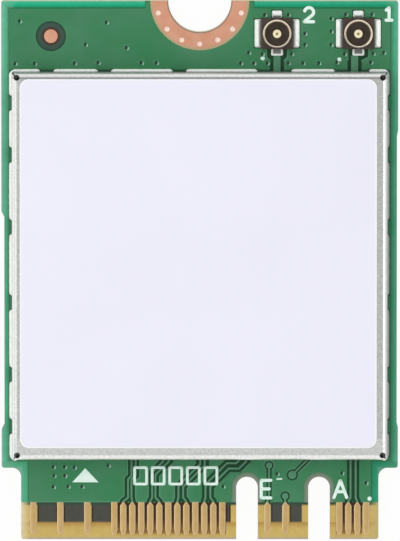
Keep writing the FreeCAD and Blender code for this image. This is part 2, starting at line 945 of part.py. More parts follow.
def build():
    capacitor_x = radio_left + chip_part_width / 2
    capacitor_pitch = (radio_chip_size[0] - chip_part_width) / (capacitor_count - 1)
    capacitor_bodies, capacitor_terminals = chip_row(
        capacitor_x, capacitor_y, capacitor_count, capacitor_pitch, capacitor_height
    )
    resistor_x = radio_right + resistor_gap + chip_part_width / 2
    resistor_bodies, resistor_terminals = chip_row(
        resistor_x, radio_y, resistor_count, resistor_pitch, resistor_height
    )
    nodes = {
        "circuit_board": circuit_board(),
        "ground_pour": ground_pour(),
        "signal_traces": signal_traces(),
        "contact_fingers_top": contact_fingers_top(),
        "contact_fingers_bottom": contact_fingers_bottom(),
        "mounting_pad_top": mounting_pad(core_high, surface),
        "mounting_pad_bottom": mounting_pad(0, core_low),
        "fiducial_dot": fiducial_dot(),
        "shield_lands": shield_lands(),
        "shield_can": shield_can(),
        "shield_solder": shield_solder(),
        "label": label(),
        "antenna_lands": antenna_lands(),
        "antenna_solder": antenna_solder(),
        "radio_chip": radio_chip(),
        "crystal_base": crystal_base(),
        "crystal_lid": crystal_lid(),
        "power_inductor_1": power_inductor(0),
        "power_inductor_2": power_inductor(1),
        "capacitor_bodies": capacitor_bodies,
        "capacitor_terminals": capacitor_terminals,
        "resistor_bodies": resistor_bodies,
        "resistor_terminals": resistor_terminals,
    }
    for port in port_x:
        shell = antenna_shell(port)
        pin = antenna_pin(port)
        nodes[f"antenna_{port}_shell"] = shell
        nodes[f"antenna_{port}_pin"] = pin
        nodes[f"antenna_{port}_base"] = antenna_base(port, shell, pin)
        nodes[f"front_end_module_{port}"] = front_end_module(port)
        nodes[f"diplexer_{port}"] = diplexer(port)
    return nodes


os.makedirs("parts", exist_ok=True)
for name, shape in build().items():
    shape.exportStep(f"parts/{name}.step")
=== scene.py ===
import json
import math

import bpy
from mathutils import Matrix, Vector

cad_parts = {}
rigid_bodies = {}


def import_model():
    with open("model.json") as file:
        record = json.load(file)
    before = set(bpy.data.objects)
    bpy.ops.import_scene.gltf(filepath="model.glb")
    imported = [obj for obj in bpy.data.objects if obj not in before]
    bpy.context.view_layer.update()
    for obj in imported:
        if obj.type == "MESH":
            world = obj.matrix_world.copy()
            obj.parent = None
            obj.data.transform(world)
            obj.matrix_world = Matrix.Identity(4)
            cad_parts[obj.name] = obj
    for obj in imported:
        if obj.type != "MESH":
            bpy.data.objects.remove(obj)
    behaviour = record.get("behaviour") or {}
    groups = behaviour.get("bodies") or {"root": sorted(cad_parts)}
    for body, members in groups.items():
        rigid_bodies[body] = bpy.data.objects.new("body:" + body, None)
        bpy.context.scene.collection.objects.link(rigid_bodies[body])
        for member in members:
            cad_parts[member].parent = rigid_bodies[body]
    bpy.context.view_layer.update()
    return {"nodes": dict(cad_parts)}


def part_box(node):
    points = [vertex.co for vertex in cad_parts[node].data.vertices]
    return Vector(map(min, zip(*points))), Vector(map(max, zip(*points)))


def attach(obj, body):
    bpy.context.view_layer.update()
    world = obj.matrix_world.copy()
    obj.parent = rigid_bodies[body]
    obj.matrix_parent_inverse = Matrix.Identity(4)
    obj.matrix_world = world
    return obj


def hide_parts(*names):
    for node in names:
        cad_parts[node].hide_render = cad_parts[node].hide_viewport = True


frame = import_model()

# Lengths below are in millimetres unless a name says otherwise; Blender works in metres.
MM = 0.001

# The photo's frame, where the card's middle and its millimetres fall in it, and how far the camera
# leaned towards the antenna end
PHOTO_HEIGHT_PX = 541
PHOTO_MIDDLE_PX = (199.75, 270.6)
PX_PER_MM = 18.03
CAMERA_TILT = math.radians(5)

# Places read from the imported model
board_low, board_high = (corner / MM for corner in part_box("circuit_board"))
pour_low, pour_high = (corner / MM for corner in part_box("ground_pour"))
can_low, can_high = (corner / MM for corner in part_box("shield_can"))
dot_low, dot_high = (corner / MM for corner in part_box("fiducial_dot"))
shell_1_low, shell_1_high = (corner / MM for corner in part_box("antenna_1_shell"))
shell_2_low, shell_2_high = (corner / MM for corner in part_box("antenna_2_shell"))
finger_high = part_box("contact_fingers_top")[1] / MM
label_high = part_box("label")[1] / MM
ring_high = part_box("mounting_pad_top")[1] / MM

# Board, copper plane and tongue
SURFACE = pour_high.z
LAMINATE_TOP = pour_low.z
MASK_END_Y = finger_high.y
HALF_WIDTH = board_high.x
TOP_Y = board_high.y
END_Y = board_low.y
PLANE_HALF = pour_high.x
EDGE_MARGIN = HALF_WIDTH - PLANE_HALF
PLANE_TOP_Y = TOP_Y - EDGE_MARGIN
FINGER_MARGIN = 0.08
TONGUE_PLANE_HALF = finger_high.x + FINGER_MARGIN
TONGUE_LENGTH = 4.0
SHOULDER_PLANE_Y = END_Y + TONGUE_LENGTH + EDGE_MARGIN
TONGUE_SIDE_REACH = 0.1
TRENCH_EDGE = 0.06
UNDERSIDE_SKIN = 0.01
NOTCH_RADIUS = 1.75
# Distances from the notch's middle where the screw land is clean and where its mark is whole: olive tarnish
# by the mask's edge, then painted shade along the notch
LAND_MARKS = (
    (ring_high.x - 0.20, ring_high.x - 0.06, "#c2b18a"),
    (NOTCH_RADIUS + 0.09, NOTCH_RADIUS + 0.04, "#a58a78"),
)
DOT_MIDDLE = (dot_low + dot_high) / 2
DOT_RADIUS = (dot_high.x - dot_low.x) / 2
DOT_OPENING_RADIUS = 0.835

# Shield and its lands
CAN_MIDDLE = (can_low + can_high) / 2
CAN_HALF = (can_high - can_low) / 2
RELIEF_INSET = 0.27
RELIEF_RADIUS = 0.15
RELIEF_SOFT = 0.03
CROWN_BAND = 1.2
CROWN_SLOPE = 0.055
LAND_OVERHANG = 0.18
LAND_REACH = 0.25
# Painted shade at the foot of the shield's wall: its reach, and how far inside the wall's line it starts
FOOT_SHADE_REACH = 0.12
FOOT_SHADE_UNDER = 0.05
# Painted shade on the tin beside the shield's side next to contact 1: its reach and its strength
SIDE_SHADE_REACH = 0.03
SIDE_SHADE_SHARE = 0.8
# Painted shadow beside the label's edge: how far out from it, its half width and its strength
LABEL_SHADE_OFF = 0.08
LABEL_SHADE_HALF = 0.05
LABEL_SHADE_SHARE = 0.45
# Share of the lands' overhang that the mask leaves open at the low and the high side of each axis
OPEN_SHARE = ((0.9, 0.6), (1.0, 0.64))

# Antenna receptacles
TAB_HEIGHT = 0.10
PORT_Y = 13.19
PORT_MIDDLE_X = (shell_1_low.x + shell_1_high.x + shell_2_low.x + shell_2_high.x) / 4
PORT_HALF_SPACING = abs(shell_1_low.x - shell_2_low.x) / 2
# Distances from a pin's middle where its painted shade starts and where it is whole: dimple, then rim
PIN_SHADES = ((0.09, 0.05, "#9c8d57"), (0.215, 0.24, "#8f8258"))

# Key slots: two full-round slots of one width, a distance apart about a middle line
SLOT_RADIUS = 0.60
SLOT_DEPTH = 3.50
SLOT_ROUND_Y = END_Y + SLOT_DEPTH - SLOT_RADIUS
SLOT_MIDDLE_X = 4.625
SLOT_HALF_SPACING = 2.0
SLOT_MARGIN = 0.28
SLOT_FADE = 0.05

# Inner copper seen through the bare tongue between the contacts, and the close-set contacts' gaps
SHADE_SPANS = (
    (-9.075, -7.925), (-7.575, -6.425), (-6.075, -4.925), (1.425, 1.66), (3.925, 4.575), (4.925, 5.66)
)
SHADE_EDGE = 0.07
SHADE_END_Y = -14.02
SHADE_FADE = (-0.06, 0.04)
# Painted shade under the mask's eaves: where it starts and where it is whole, before the mask's end
EAVES_SHADE_FADE = (-0.22, -0.10)
TONGUE_SIDE_FADE = 0.5
CLOSE_SPANS = ((-4.80, 1.40), (7.50, 8.98))

# How far one colour takes to turn into the next, the height of a surface's finest grain, and the weave
SOFT_EDGE = 0.02
GRAIN_HEIGHT = 0.02
WEAVE_SIZE = 0.35

# Upright share of a normal above which a face is level, and below which it is steep
LEVEL = 0.9
STEEP = 0.5


def on_card(px, py):
    """Place on the card's face, in millimetres, of a pixel of the photo."""
    across = (px - PHOTO_MIDDLE_PX[0]) / PX_PER_MM
    along = (PHOTO_MIDDLE_PX[1] - py) / (PX_PER_MM * math.cos(CAMERA_TILT))
    return across, along


def width_share(x):
    """Share of the card's width at a place across it."""
    return (x + HALF_WIDTH) / (2 * HALF_WIDTH)


def per_mm(size):
    """Pattern scale whose cells are about a size in millimetres, on coordinates in metres."""
    return 1 / (size * MM)


def linear(code):
    """Linear colour of an sRGB hex value."""
    channels = [int(code[i:i + 2], 16) / 255 for i in (1, 3, 5)]
    return tuple(c / 12.92 if c <= 0.04045 else ((c + 0.055) / 1.055) ** 2.4 for c in channels) + (1.0,)


def add_node(tree, kind, inputs=None, stops=None, steps=False, **settings):
    """Add one shader node with its settings; an input is a value, a hex colour, a socket or another node."""
    node = tree.nodes.new("ShaderNode" + kind)
    for name, value in settings.items():
        setattr(node, name, value)
    for name, value in (inputs or {}).items():
        if isinstance(value, bpy.types.Node):
            value = next(socket for socket in value.outputs if socket.enabled)
        if isinstance(value, bpy.types.NodeSocket):
            tree.links.new(value, node.inputs[name])
        else:
            node.inputs[name].default_value = linear(value) if isinstance(value, str) else value
    if stops:
        elements = node.color_ramp.elements
        while len(elements) < len(stops):
            elements.new(1.0)
        for element, (place, code) in zip(elements, stops):
            element.position = place
            element.color = linear(code)
        node.color_ramp.interpolation = "CONSTANT" if steps else "LINEAR"
    return node


def card_axes(tree):
    """Place along each of the card's axes, from the object's own coordinates."""
    place = add_node(tree, "TexCoord").outputs["Object"]
    return add_node(tree, "SeparateXYZ", {"Vector": place}).outputs


# Materials


def new_material(name, **sockets):
    """Material with a Principled shader whose plain values are set; returns it with its tree and shader."""
    material = bpy.data.materials.new(name)
    material.use_nodes = True
    tree = material.node_tree
    shader = tree.nodes["Principled BSDF"]
    for socket, value in sockets.items():
        shader.inputs[socket.replace("_", " ")].default_value = value
    return material, tree, shader


def mottled_material(name, low_code, high_code, patch, grain, bump, **sockets):
    """Two close colours in soft patches, with a fine bump of its own grain."""
    material, tree, shader = new_material(name, **sockets)
    place = add_node(tree, "TexCoord").outputs["Object"]
    patches = add_node(tree, "TexNoise", {"Vector": place, "Scale": per_mm(patch), "Detail": 3.0})
    colour = add_node(tree, "ValToRGB", {"Fac": patches}, stops=[(0.35, low_code), (0.65, high_code)])
    fine = add_node(tree, "TexNoise", {"Vector": place, "Scale": per_mm(grain), "Detail": 2.0})
    height = add_node(tree, "Bump", {"Height": fine, "Strength": bump, "Distance": GRAIN_HEIGHT * MM})
    tree.links.new(colour.outputs["Color"], shader.inputs["Base Color"])
    tree.links.new(height.outputs["Normal"], shader.inputs["Normal"])
    return material


def blend_towards(material, share, colour):
    """Turn a material's colour towards another by a share that its own nodes give."""
    tree = material.node_tree
    base = tree.nodes["Principled BSDF"].inputs["Base Color"]
    before = base.links[0].from_socket
    mix = add_node(tree, "Mix", {0: share, 6: before, 7: colour}, data_type="RGBA")
    tree.links.new(mix.outputs[2], base)


# Green epoxy mask over copper: the copper greys the green, and the cured lacquer keeps a soft gloss
# with a faint orange peel.
MASK_GLOSS = 0.3
mask_on_copper = mottled_material(
    "green_mask_on_copper", "#347f52", "#44825d", 2.5, 0.5, 0.10,
    Roughness=0.38, Specular_IOR_Level=MASK_GLOSS,
)

# The same mask over the rim of the copper, where it thins: its pale line is partly that thinning and partly a
# painted highlight.
mask_rim_highlight = mottled_material(
    "green_mask_rim_highlight", "#4c8a66", "#56916f", 1.0, 0.3, 0.10, Roughness=0.35
)

# Mask beside the soldering lands, painted dark green as the shade round them.
mask_shade = mottled_material(
    "green_mask_painted_shade", "#0d3a20", "#154528", 0.5, 0.3, 0.10, Roughness=0.35, Specular_IOR_Level=MASK_GLOSS
)

# Mask at the outer rim of the plane, painted a deeper green as the shade of the plane's step.
mask_step_shade = mottled_material(
    "green_mask_step_shade", "#1c7a4e", "#237b52", 0.5, 0.3, 0.10, Roughness=0.35, Specular_IOR_Level=MASK_GLOSS
)

# Mask over narrow copper, paler than over the plane because the lacquer runs off it.
mask_on_trace = mottled_material(
    "green_mask_on_trace", "#4a8462", "#588d6d", 1.0, 0.3, 0.10, Roughness=0.35, Specular_IOR_Level=MASK_GLOSS
)

# Mask sunk in a hole: glossy round the dish, painted dark at its bottom as shade, with a painted glint on its
# far lip.
via_gloss = mottled_material("green_mask_in_dish", "#2f7f50", "#40825b", 0.5, 0.2, 0.05, Roughness=0.25)
via_shade = mottled_material("green_mask_painted_shade_in_hole", "#06301a", "#0c3a20", 0.2, 0.1, 0.1, Roughness=0.35)
via_glint = mottled_material("green_mask_painted_glint", "#84ba9b", "#92c4a8", 0.2, 0.1, 0.1, Roughness=0.3)

# Bare copper under a clear protective film: salmon, half matt and unevenly toned.
bare_copper = mottled_material(
    "filmed_bare_copper", "#e3a486", "#eab297", 0.7, 0.12, 0.12, Metallic=0.6, Roughness=0.45
)
land_copper = mottled_material(
    "screw_land_copper", "#e3a283", "#e7af93", 0.7, 0.12, 0.12, Metallic=0.7, Roughness=0.45
)

# Tin in the plated holes of the screw land: pale, with a rosy tint painted in as the reflection of the copper
# round it.
plug_tin = mottled_material(
    "tinned_plated_hole", "#fbdccb", "#ffe6d8", 0.2, 0.08, 0.1, Metallic=0.2, Roughness=0.3
)

# Hard gold over nickel on the edge contacts: soft satin with faint handling marks.
contact_gold = mottled_material(
    "hard_gold_plate", "#d2ae72", "#dab77e", 0.6, 0.10, 0.10, Metallic=0.6, Roughness=0.40
)

# Etched edge of the contacts, painted pale as a highlight.
contact_rim_highlight = mottled_material(
    "hard_gold_edge_highlight", "#d3bb8d", "#dcc698", 0.4, 0.10, 0.10, Metallic=0.5, Roughness=0.40
)

# Hot-air-levelled tin on the soldering lands: bright and slightly domed.
land_tin = mottled_material(
    "levelled_tin", "#d4d8d3", "#e6eae5", 0.3, 0.10, 0.2, Metallic=1.0, Roughness=0.30
)

# Reflowed solder: wet-bright tin frosted white by its fine crystals, so most of its light is diffuse.
solder_tin = mottled_material(
    "frosted_solder", "#e8efe8", "#f4faf4", 0.25, 0.08, 0.2, Metallic=0.1, Roughness=0.28
)

# The same solder in the lean beads of the shield, painted whiter as light to make up for the shade of the
# shield's wall.
bead_tin = mottled_material("brightened_bead_solder", "#f4faf5", "#fdfffd", 0.25, 0.08, 0.2, Roughness=0.28)

# White silkscreen ink: matt epoxy with a slightly uneven deposit.
silk_ink = mottled_material("white_silkscreen_ink", "#dbf5e7", "#ebfcf3", 0.3, 0.06, 0.3, Roughness=0.62)

# Coated paper of the label: smooth blue-white with barely visible fibre.
label_paper = mottled_material("coated_label_paper", "#ecebf8", "#eeedfa", 6.0, 0.10, 0.04, Roughness=0.55)

# Cut edge of the label, painted whiter as a highlight.
label_rim_highlight = mottled_material("label_edge_highlight", "#f4f5f8", "#fbfcfd", 1.0, 0.10, 0.06, Roughness=0.5)

# Gold on the centre pin: pale and clean, polished by the press tool.
pin_gold = mottled_material(
    "gold_plated_pin", "#f8ebc2", "#fdf3cf", 0.3, 0.10, 0.08, Metallic=0.15, Roughness=0.30
)

# Liquid-crystal polymer of the receptacle: dark brown moulding with a dull skin.
insulator = mottled_material("dark_moulded_polymer", "#33271b", "#3f3326", 0.5, 0.08, 0.15, Roughness=0.5)

# Epoxy moulding compound of the chips: near-black and finely pitted.
chip_mould = mottled_material("black_epoxy_mould", "#1d1e20", "#26272a", 0.6, 0.06, 0.3, Roughness=0.6)

# Fired ceramics under the shield: white alumina, brown titanate and dark ferrite, with a black printed film.
alumina = mottled_material("white_alumina", "#d9d6cc", "#e3e0d7", 0.6, 0.06, 0.2, Roughness=0.5)
titanate = mottled_material("brown_titanate_ceramic", "#9a7a52", "#a8875d", 0.4, 0.06, 0.2, Roughness=0.45)
thick_film = mottled_material("black_thick_film", "#1b1b1d", "#232326", 0.4, 0.06, 0.1, Roughness=0.3)
ferrite = mottled_material("grey_ferrite", "#3c3d40", "#47484b", 0.5, 0.06, 0.3, Roughness=0.55)

# Gold-flashed lid of the crystal: plain bright sheet.
crystal_cap = mottled_material(
    "flashed_lid_metal", "#cfc6a8", "#d9d1b6", 0.8, 0.10, 0.1, Metallic=1.0, Roughness=0.35
)


def shade_foot_of_shield():
    """Paint shade on the mask on the plane at the foot of the shield's wall towards the antennas."""
    tree = mask_on_copper.node_tree
    along = card_axes(tree)["Y"]
    foot = can_high.y
    near = add_node(
        tree, "MapRange", {"Value": along, "From Min": (foot + FOOT_SHADE_REACH) * MM, "From Max": foot * MM}
    )
    outside = add_node(tree, "Math", {0: along, 1: (foot - FOOT_SHADE_UNDER) * MM}, operation="GREATER_THAN")
    share = add_node(tree, "Math", {0: near, 1: outside}, operation="MULTIPLY")
    blend_towards(mask_on_copper, share, "#143a22")


def shade_side_of_shield(material, code):
    """Paint shade on the tin along the shield's side next to contact 1."""
    tree = material.node_tree
    across = card_axes(tree)["X"]
    low = (can_high.x - SOFT_EDGE) * MM
    high = (can_high.x + SIDE_SHADE_REACH) * MM
    share = add_node(
        tree, "MapRange", {"Value": across, "From Min": low, "From Max": high, "To Max": SIDE_SHADE_SHARE}
    )
    blend_towards(material, share, code)


def at_tabs(tree):
    """Share that is whole up to the level of the receptacles' tabs, and nothing above them."""
    level = card_axes(tree)["Z"]
    top = (SURFACE + TAB_HEIGHT) * MM
    return add_node(tree, "MapRange", {"Value": level, "From Min": top + SOFT_EDGE * MM, "From Max": top})


def shade_pins_and_tin_tails():
    """Paint shade into the dimple and onto the rim of each centre pin, and tin the tail that its root sends
    out.
    """
    tree = pin_gold.node_tree
    axes = card_axes(tree)
    off = add_node(tree, "Math", {0: axes["X"], 1: PORT_MIDDLE_X * MM}, operation="SUBTRACT")
    folded = add_node(tree, "Math", {0: off}, operation="ABSOLUTE")
    flat = add_node(tree, "CombineXYZ", {"X": folded, "Y": axes["Y"]})
    middle = (PORT_HALF_SPACING * MM, PORT_Y * MM, 0.0)
    way = add_node(tree, "VectorMath", {0: flat, 1: middle}, operation="DISTANCE")
    for unmarked_at, marked_at, code in PIN_SHADES:
        share = add_node(tree, "MapRange", {"Value": way, "From Min": unmarked_at * MM, "From Max": marked_at * MM})
        blend_towards(pin_gold, share, code)
    blend_towards(pin_gold, at_tabs(tree), "#7d7a78")


def tarnish_and_shade_screw_land():
    """Tarnish the screw land's copper olive along the mask's edge, and paint shade brown along the notch."""
    tree = land_copper.node_tree
    place = add_node(tree, "TexCoord").outputs["Object"]
    flat = add_node(tree, "VectorMath", {0: place, 1: (1.0, 1.0, 0.0)}, operation="MULTIPLY")
    way = add_node(tree, "VectorMath", {0: flat, 1: (0.0, TOP_Y * MM, 0.0)}, operation="DISTANCE")
    for unmarked_at, marked_at, code in LAND_MARKS:
        share = add_node(tree, "MapRange", {"Value": way, "From Min": unmarked_at * MM, "From Max": marked_at * MM})
        blend_towards(land_copper, share, code)


shade_foot_of_shield()
# Painted shade on the lands and beads along the shield's side next to contact 1
shade_side_of_shield(land_tin, "#4d6f5c")
shade_side_of_shield(bead_tin, "#7d9084")
shade_pins_and_tin_tails()
tarnish_and_shade_screw_land()


def receptacle_gold():
    """Gold flash on the receptacle's pressed brass: pale pinkish gold on the ring, grey tinned tabs below."""
    material, tree, shader = new_material("gold_flashed_brass", Metallic=1.0, Roughness=0.26)
    place = add_node(tree, "TexCoord").outputs["Object"]
    patches = add_node(tree, "TexNoise", {"Vector": place, "Scale": per_mm(0.3), "Detail": 3.0})
    gold = add_node(tree, "ValToRGB", {"Fac": patches}, stops=[(0.35, "#f3e2cf"), (0.65, "#faefe0")])
    tinned = add_node(tree, "ValToRGB", {"Fac": patches}, stops=[(0.35, "#8d8c88"), (0.65, "#a5a4a0")])
    tree.links.new(gold.outputs["Color"], shader.inputs["Base Color"])
    blend_towards(material, at_tabs(tree), tinned)
    return material


SHADED_TIN = "#8c8c8c"


def tin_plate():
    """Tin plate of the shield: bright satin with a fine speckle, with black painted shade inside the corner
    reliefs.
    """
    material = mottled_material("satin_tin_plate", "#eceeeb", "#fafcf9", 0.12, 0.05, 0.30, Roughness=0.25)
    tree = material.node_tree
    place = add_node(tree, "TexCoord").outputs["Object"]
    along = card_axes(tree)["Y"]
    # Painted shade: black inside the corner reliefs
    middle = (CAN_MIDDLE.x * MM, CAN_MIDDLE.y * MM, 0.0)
    off = add_node(tree, "VectorMath", {0: place, 1: middle}, operation="SUBTRACT")
    flat = add_node(tree, "VectorMath", {0: off, 1: (1.0, 1.0, 0.0)}, operation="MULTIPLY")
    folded = add_node(tree, "VectorMath", {0: flat}, operation="ABSOLUTE")
    relief = ((CAN_HALF.x - RELIEF_INSET) * MM, (CAN_HALF.y - RELIEF_INSET) * MM, 0.0)
    way = add_node(tree, "VectorMath", {0: folded, 1: relief}, operation="DISTANCE")
    edge = RELIEF_RADIUS * MM
    inside = add_node(tree, "MapRange", {"Value": way, "From Min": edge + RELIEF_SOFT * MM, "From Max": edge})
    blend_towards(material, inside, "#0c0c0c")
    lean_lid(tree, along)
    shade_walls_by_facing(material)

    # Painted shadow of the label's edge on its side towards the antennas
    label_shade_y = (label_high.y + LABEL_SHADE_OFF) * MM
    half = LABEL_SHADE_HALF * MM
    off = add_node(tree, "Math", {0: along, 1: label_shade_y}, operation="SUBTRACT")
    off = add_node(tree, "Math", {0: off}, operation="ABSOLUTE")
    label_shade = add_node(
        tree, "MapRange", {"Value": off, "From Min": 2 * half, "From Max": half, "To Max": LABEL_SHADE_SHARE}
    )
    blend_towards(material, label_shade, "#6f7070")
    return material


def lean_lid(tree, along):
    """Let the shield's lid fall away a little towards the contact end, under its speckle."""
    past = add_node(tree, "Math", {0: (can_low.y + CROWN_BAND) * MM, 1: along}, operation="SUBTRACT")
    outside = add_node(tree, "Math", {0: past, 1: 0.0}, operation="MAXIMUM")
    fall = add_node(tree, "Math", {0: outside, 1: -CROWN_SLOPE}, operation="MULTIPLY")
    lean = add_node(tree, "Bump", {"Height": fall, "Strength": 1.0, "Distance": 1.0})
    speckle = tree.nodes["Principled BSDF"].inputs["Normal"].links[0].from_node
    tree.links.new(lean.outputs["Normal"], speckle.inputs["Normal"])


def shade_walls_by_facing(material):
    """Paint shade on the shield's walls and bends by the way they face: most on steep faces and on faces
    towards the antennas and contact 1.
    """
    tree = material.node_tree
    facing = add_node(tree, "NewGeometry").outputs["Normal"]
    lean = add_node(tree, "SeparateXYZ", {"Vector": facing}).outputs
    polish = add_node(
        tree,
        "MapRange",
        {"Value": lean["Z"], "From Min": 0.2, "From Max": 0.7, "To Min": 0.25, "To Max": 0.85},
    )
    tree.links.new(polish.outputs["Result"], tree.nodes["Principled BSDF"].inputs["Metallic"])
    towards = add_node(tree, "VectorMath", {0: facing, 1: (1.0, 1.0, 0.0)}, operation="DOT_PRODUCT")

    # One band of the bend on the side away from contact 1 gets painted shade too
    bend_band = add_node(tree, "Math", {0: lean["X"], 1: 0.35}, operation="ADD")
    bend_band = add_node(tree, "Math", {0: bend_band}, operation="ABSOLUTE")
    facing_shades = ((lean["Z"], 0.6, 0.2, 0.6), (towards, 0.5, 0.9, 0.6), (bend_band, 0.32, 0.2, 0.45))
    for value, unmarked_at, marked_at, most in facing_shades:
        share = add_node(
            tree, "MapRange", {"Value": value, "From Min": unmarked_at, "From Max": marked_at, "To Max": most}
        )
        blend_towards(material, share, SHADED_TIN)


def across_card(tree):
    """Share of the card's width, from 0 at the side away from contact 1 to 1 at the other."""
    across = card_axes(tree)["X"]
    return add_node(
        tree, "MapRange", {"Value": across, "From Min": -HALF_WIDTH * MM, "From Max": HALF_WIDTH * MM}
    )


def past_tongue_step(tree):
    """Distance out from the copper plane's outline at the tongue's two sides."""
    axes = card_axes(tree)
    across = add_node(tree, "Math", {0: axes["X"]}, operation="ABSOLUTE")
    aside = add_node(tree, "Math", {0: across, 1: TONGUE_PLANE_HALF * MM}, operation="SUBTRACT")
    below = add_node(tree, "Math", {0: SHOULDER_PLANE_Y * MM, 1: axes["Y"]}, operation="SUBTRACT")
    return add_node(tree, "Math", {0: aside, 1: below}, operation="MINIMUM")


def masked_border(tree):
    """Mask on bare laminate: painted shade at the plane's step and in the trenches, bright teal out to the
    edge, painted lighter at one side and darker at the other.
    """
    axes = card_axes(tree)
    across = add_node(tree, "Math", {0: axes["X"]}, operation="ABSOLUTE")
    past_side = add_node(tree, "Math", {0: across, 1: PLANE_HALF * MM}, operation="SUBTRACT")
    past_top = add_node(tree, "Math", {0: axes["Y"], 1: PLANE_TOP_Y * MM}, operation="SUBTRACT")
    outer = add_node(tree, "Math", {0: past_side, 1: past_top}, operation="MAXIMUM")
    past = add_node(tree, "Math", {0: outer, 1: past_tongue_step(tree)}, operation="MAXIMUM")
    share = add_node(
        tree, "MapRange", {"Value": past, "From Min": -TRENCH_EDGE * MM, "From Max": EDGE_MARGIN * MM}
    )
    border = add_node(
        tree,
        "ValToRGB",
        {"Fac": share},
        stops=[
            (0.0, "#0a4222"), (0.12, "#0e5c36"), (0.26, "#0f8a5c"),
            (0.55, "#12a678"), (0.85, "#33ae86"), (1.0, "#86bba2"),
        ],
    )
    # Painted light and shade: lighter at the side away from contact 1, darker at the other
    painted_side_light = add_node(tree, "MapRange", {"Value": across_card(tree), "To Min": 1.16, "To Max": 0.89})
    return add_node(tree, "HueSaturation", {"Color": border, "Value": painted_side_light})


def pale_sides(tree):
    """Routed sides of the card, where the mask turns pale towards the edge, most at the side away from
    contact 1.
    """
    paling = add_node(
        tree,
        "ValToRGB",
        {"Fac": across_card(tree)},
        stops=[
            (0.0, "#c0c0c0"), (0.012, "#969696"), (0.03, "#707070"), (0.032, "#000000"),
            (0.968, "#000000"), (0.97, "#505050"), (0.988, "#787878"), (1.0, "#a0a0a0"),
        ],
    )
    return paling, "#8fb9a4"


def tongue_sides(tree):
    """Mask on the tongue's own sides, painted lighter at one side and darker at the other as light and shade.
    """
    step = past_tongue_step(tree)
    below = add_node(tree, "MapRange", {"Value": step, "From Max": TONGUE_SIDE_REACH * MM, "To Max": 0.5})
    tone = add_node(
        tree, "ValToRGB", {"Fac": across_card(tree)}, stops=[(0.1, "#6aa482"), (0.9, "#2b7f5c")]
    )
    return below, tone


def slot_rims(tree):
    """Olive rim where the mask stops short of the key slots."""
    axes = card_axes(tree)
    off = add_node(tree, "Math", {0: axes["X"], 1: SLOT_MIDDLE_X * MM}, operation="SUBTRACT")
    folded = add_node(tree, "Math", {0: off}, operation="ABSOLUTE")
    aside = add_node(tree, "Math", {0: folded, 1: SLOT_HALF_SPACING * MM}, operation="SUBTRACT")
    above = add_node(tree, "Math", {0: axes["Y"], 1: SLOT_ROUND_Y * MM}, operation="SUBTRACT")
    above = add_node(tree, "Math", {0: above, 1: 0.0}, operation="MAXIMUM")
    flat = add_node(tree, "CombineXYZ", {"X": aside, "Y": above})
    way = add_node(tree, "VectorMath", {0: flat}, operation="LENGTH")
    outer = SLOT_RADIUS + SLOT_MARGIN + SLOT_FADE
    share = add_node(tree, "MapRange", {"Value": way, "From Min": SLOT_RADIUS * MM, "From Max": outer * MM})
    rim = add_node(
        tree,
        "ValToRGB",
        {"Fac": share},
        stops=[
            (0.0, "#8b8a80"), (0.2, "#80887a"), (0.4, "#748870"),
            (0.6, "#66866b"), (0.8, "#507c5d"), (1.0, "#3a7252"),
        ],
    )
    return add_node(tree, "Math", {0: share, 1: 0.98}, operation="LESS_THAN"), rim


def dot_ring(tree):
    """Bare ring round the alignment dot, reddened next to the copper."""
    place = add_node(tree, "TexCoord").outputs["Object"]
    middle = (DOT_MIDDLE.x * MM, DOT_MIDDLE.y * MM, LAMINATE_TOP * MM)
    way = add_node(tree, "VectorMath", {0: place, 1: middle}, operation="DISTANCE")
    share = add_node(
        tree, "MapRange", {"Value": way, "From Min": DOT_RADIUS * MM, "From Max": DOT_OPENING_RADIUS * MM}
    )
    ring = add_node(
        tree,
        "ValToRGB",
        {"Fac": share},
        stops=[(0.0, "#6b2a16"), (0.16, "#3a362d"), (0.5, "#3f5347"), (0.8, "#2c4f40"), (1.0, "#103a26")],
    )
    return add_node(tree, "Math", {0: share, 1: 0.99}, operation="LESS_THAN"), ring


def underside(tree):
    """Masked plane of the underside, which is part of the laminate's own solid."""
    level = card_axes(tree)["Z"]
    skin = UNDERSIDE_SKIN * MM
    sunk = add_node(tree, "MapRange", {"Value": level, "From Min": 2 * skin, "From Max": skin})
    return sunk, "#3f7f59"


BARE_RESIN = "#c9ac60"
BEVEL_RESIN = "#b8a68a"


def inner_copper(tree):
    """Grey patches of inner copper in the bare tongue, darker at their edges, with painted shade under the
    mask's eaves.
    """
    stops = [(0.0, BARE_RESIN)]
    for low, high in SHADE_SPANS:
        for x, code in (
            (low, "#33240a"),
            (low + SHADE_EDGE, "#45473f"),
            (high - SHADE_EDGE, "#33240a"),
            (high, BARE_RESIN),
        ):
            stops.append((width_share(x), code))
    shaded = add_node(tree, "ValToRGB", {"Fac": across_card(tree)}, stops=stops, steps=True)
    along = card_axes(tree)["Y"]
    # Painted shade under the mask's eaves
    low, high = ((MASK_END_Y + way) * MM for way in EAVES_SHADE_FADE)
    eaves = add_node(tree, "MapRange", {"Value": along, "From Min": low, "From Max": high})
    return add_node(tree, "Mix", {0: eaves, 6: shaded, 7: "#2f4836"}, data_type="RGBA")


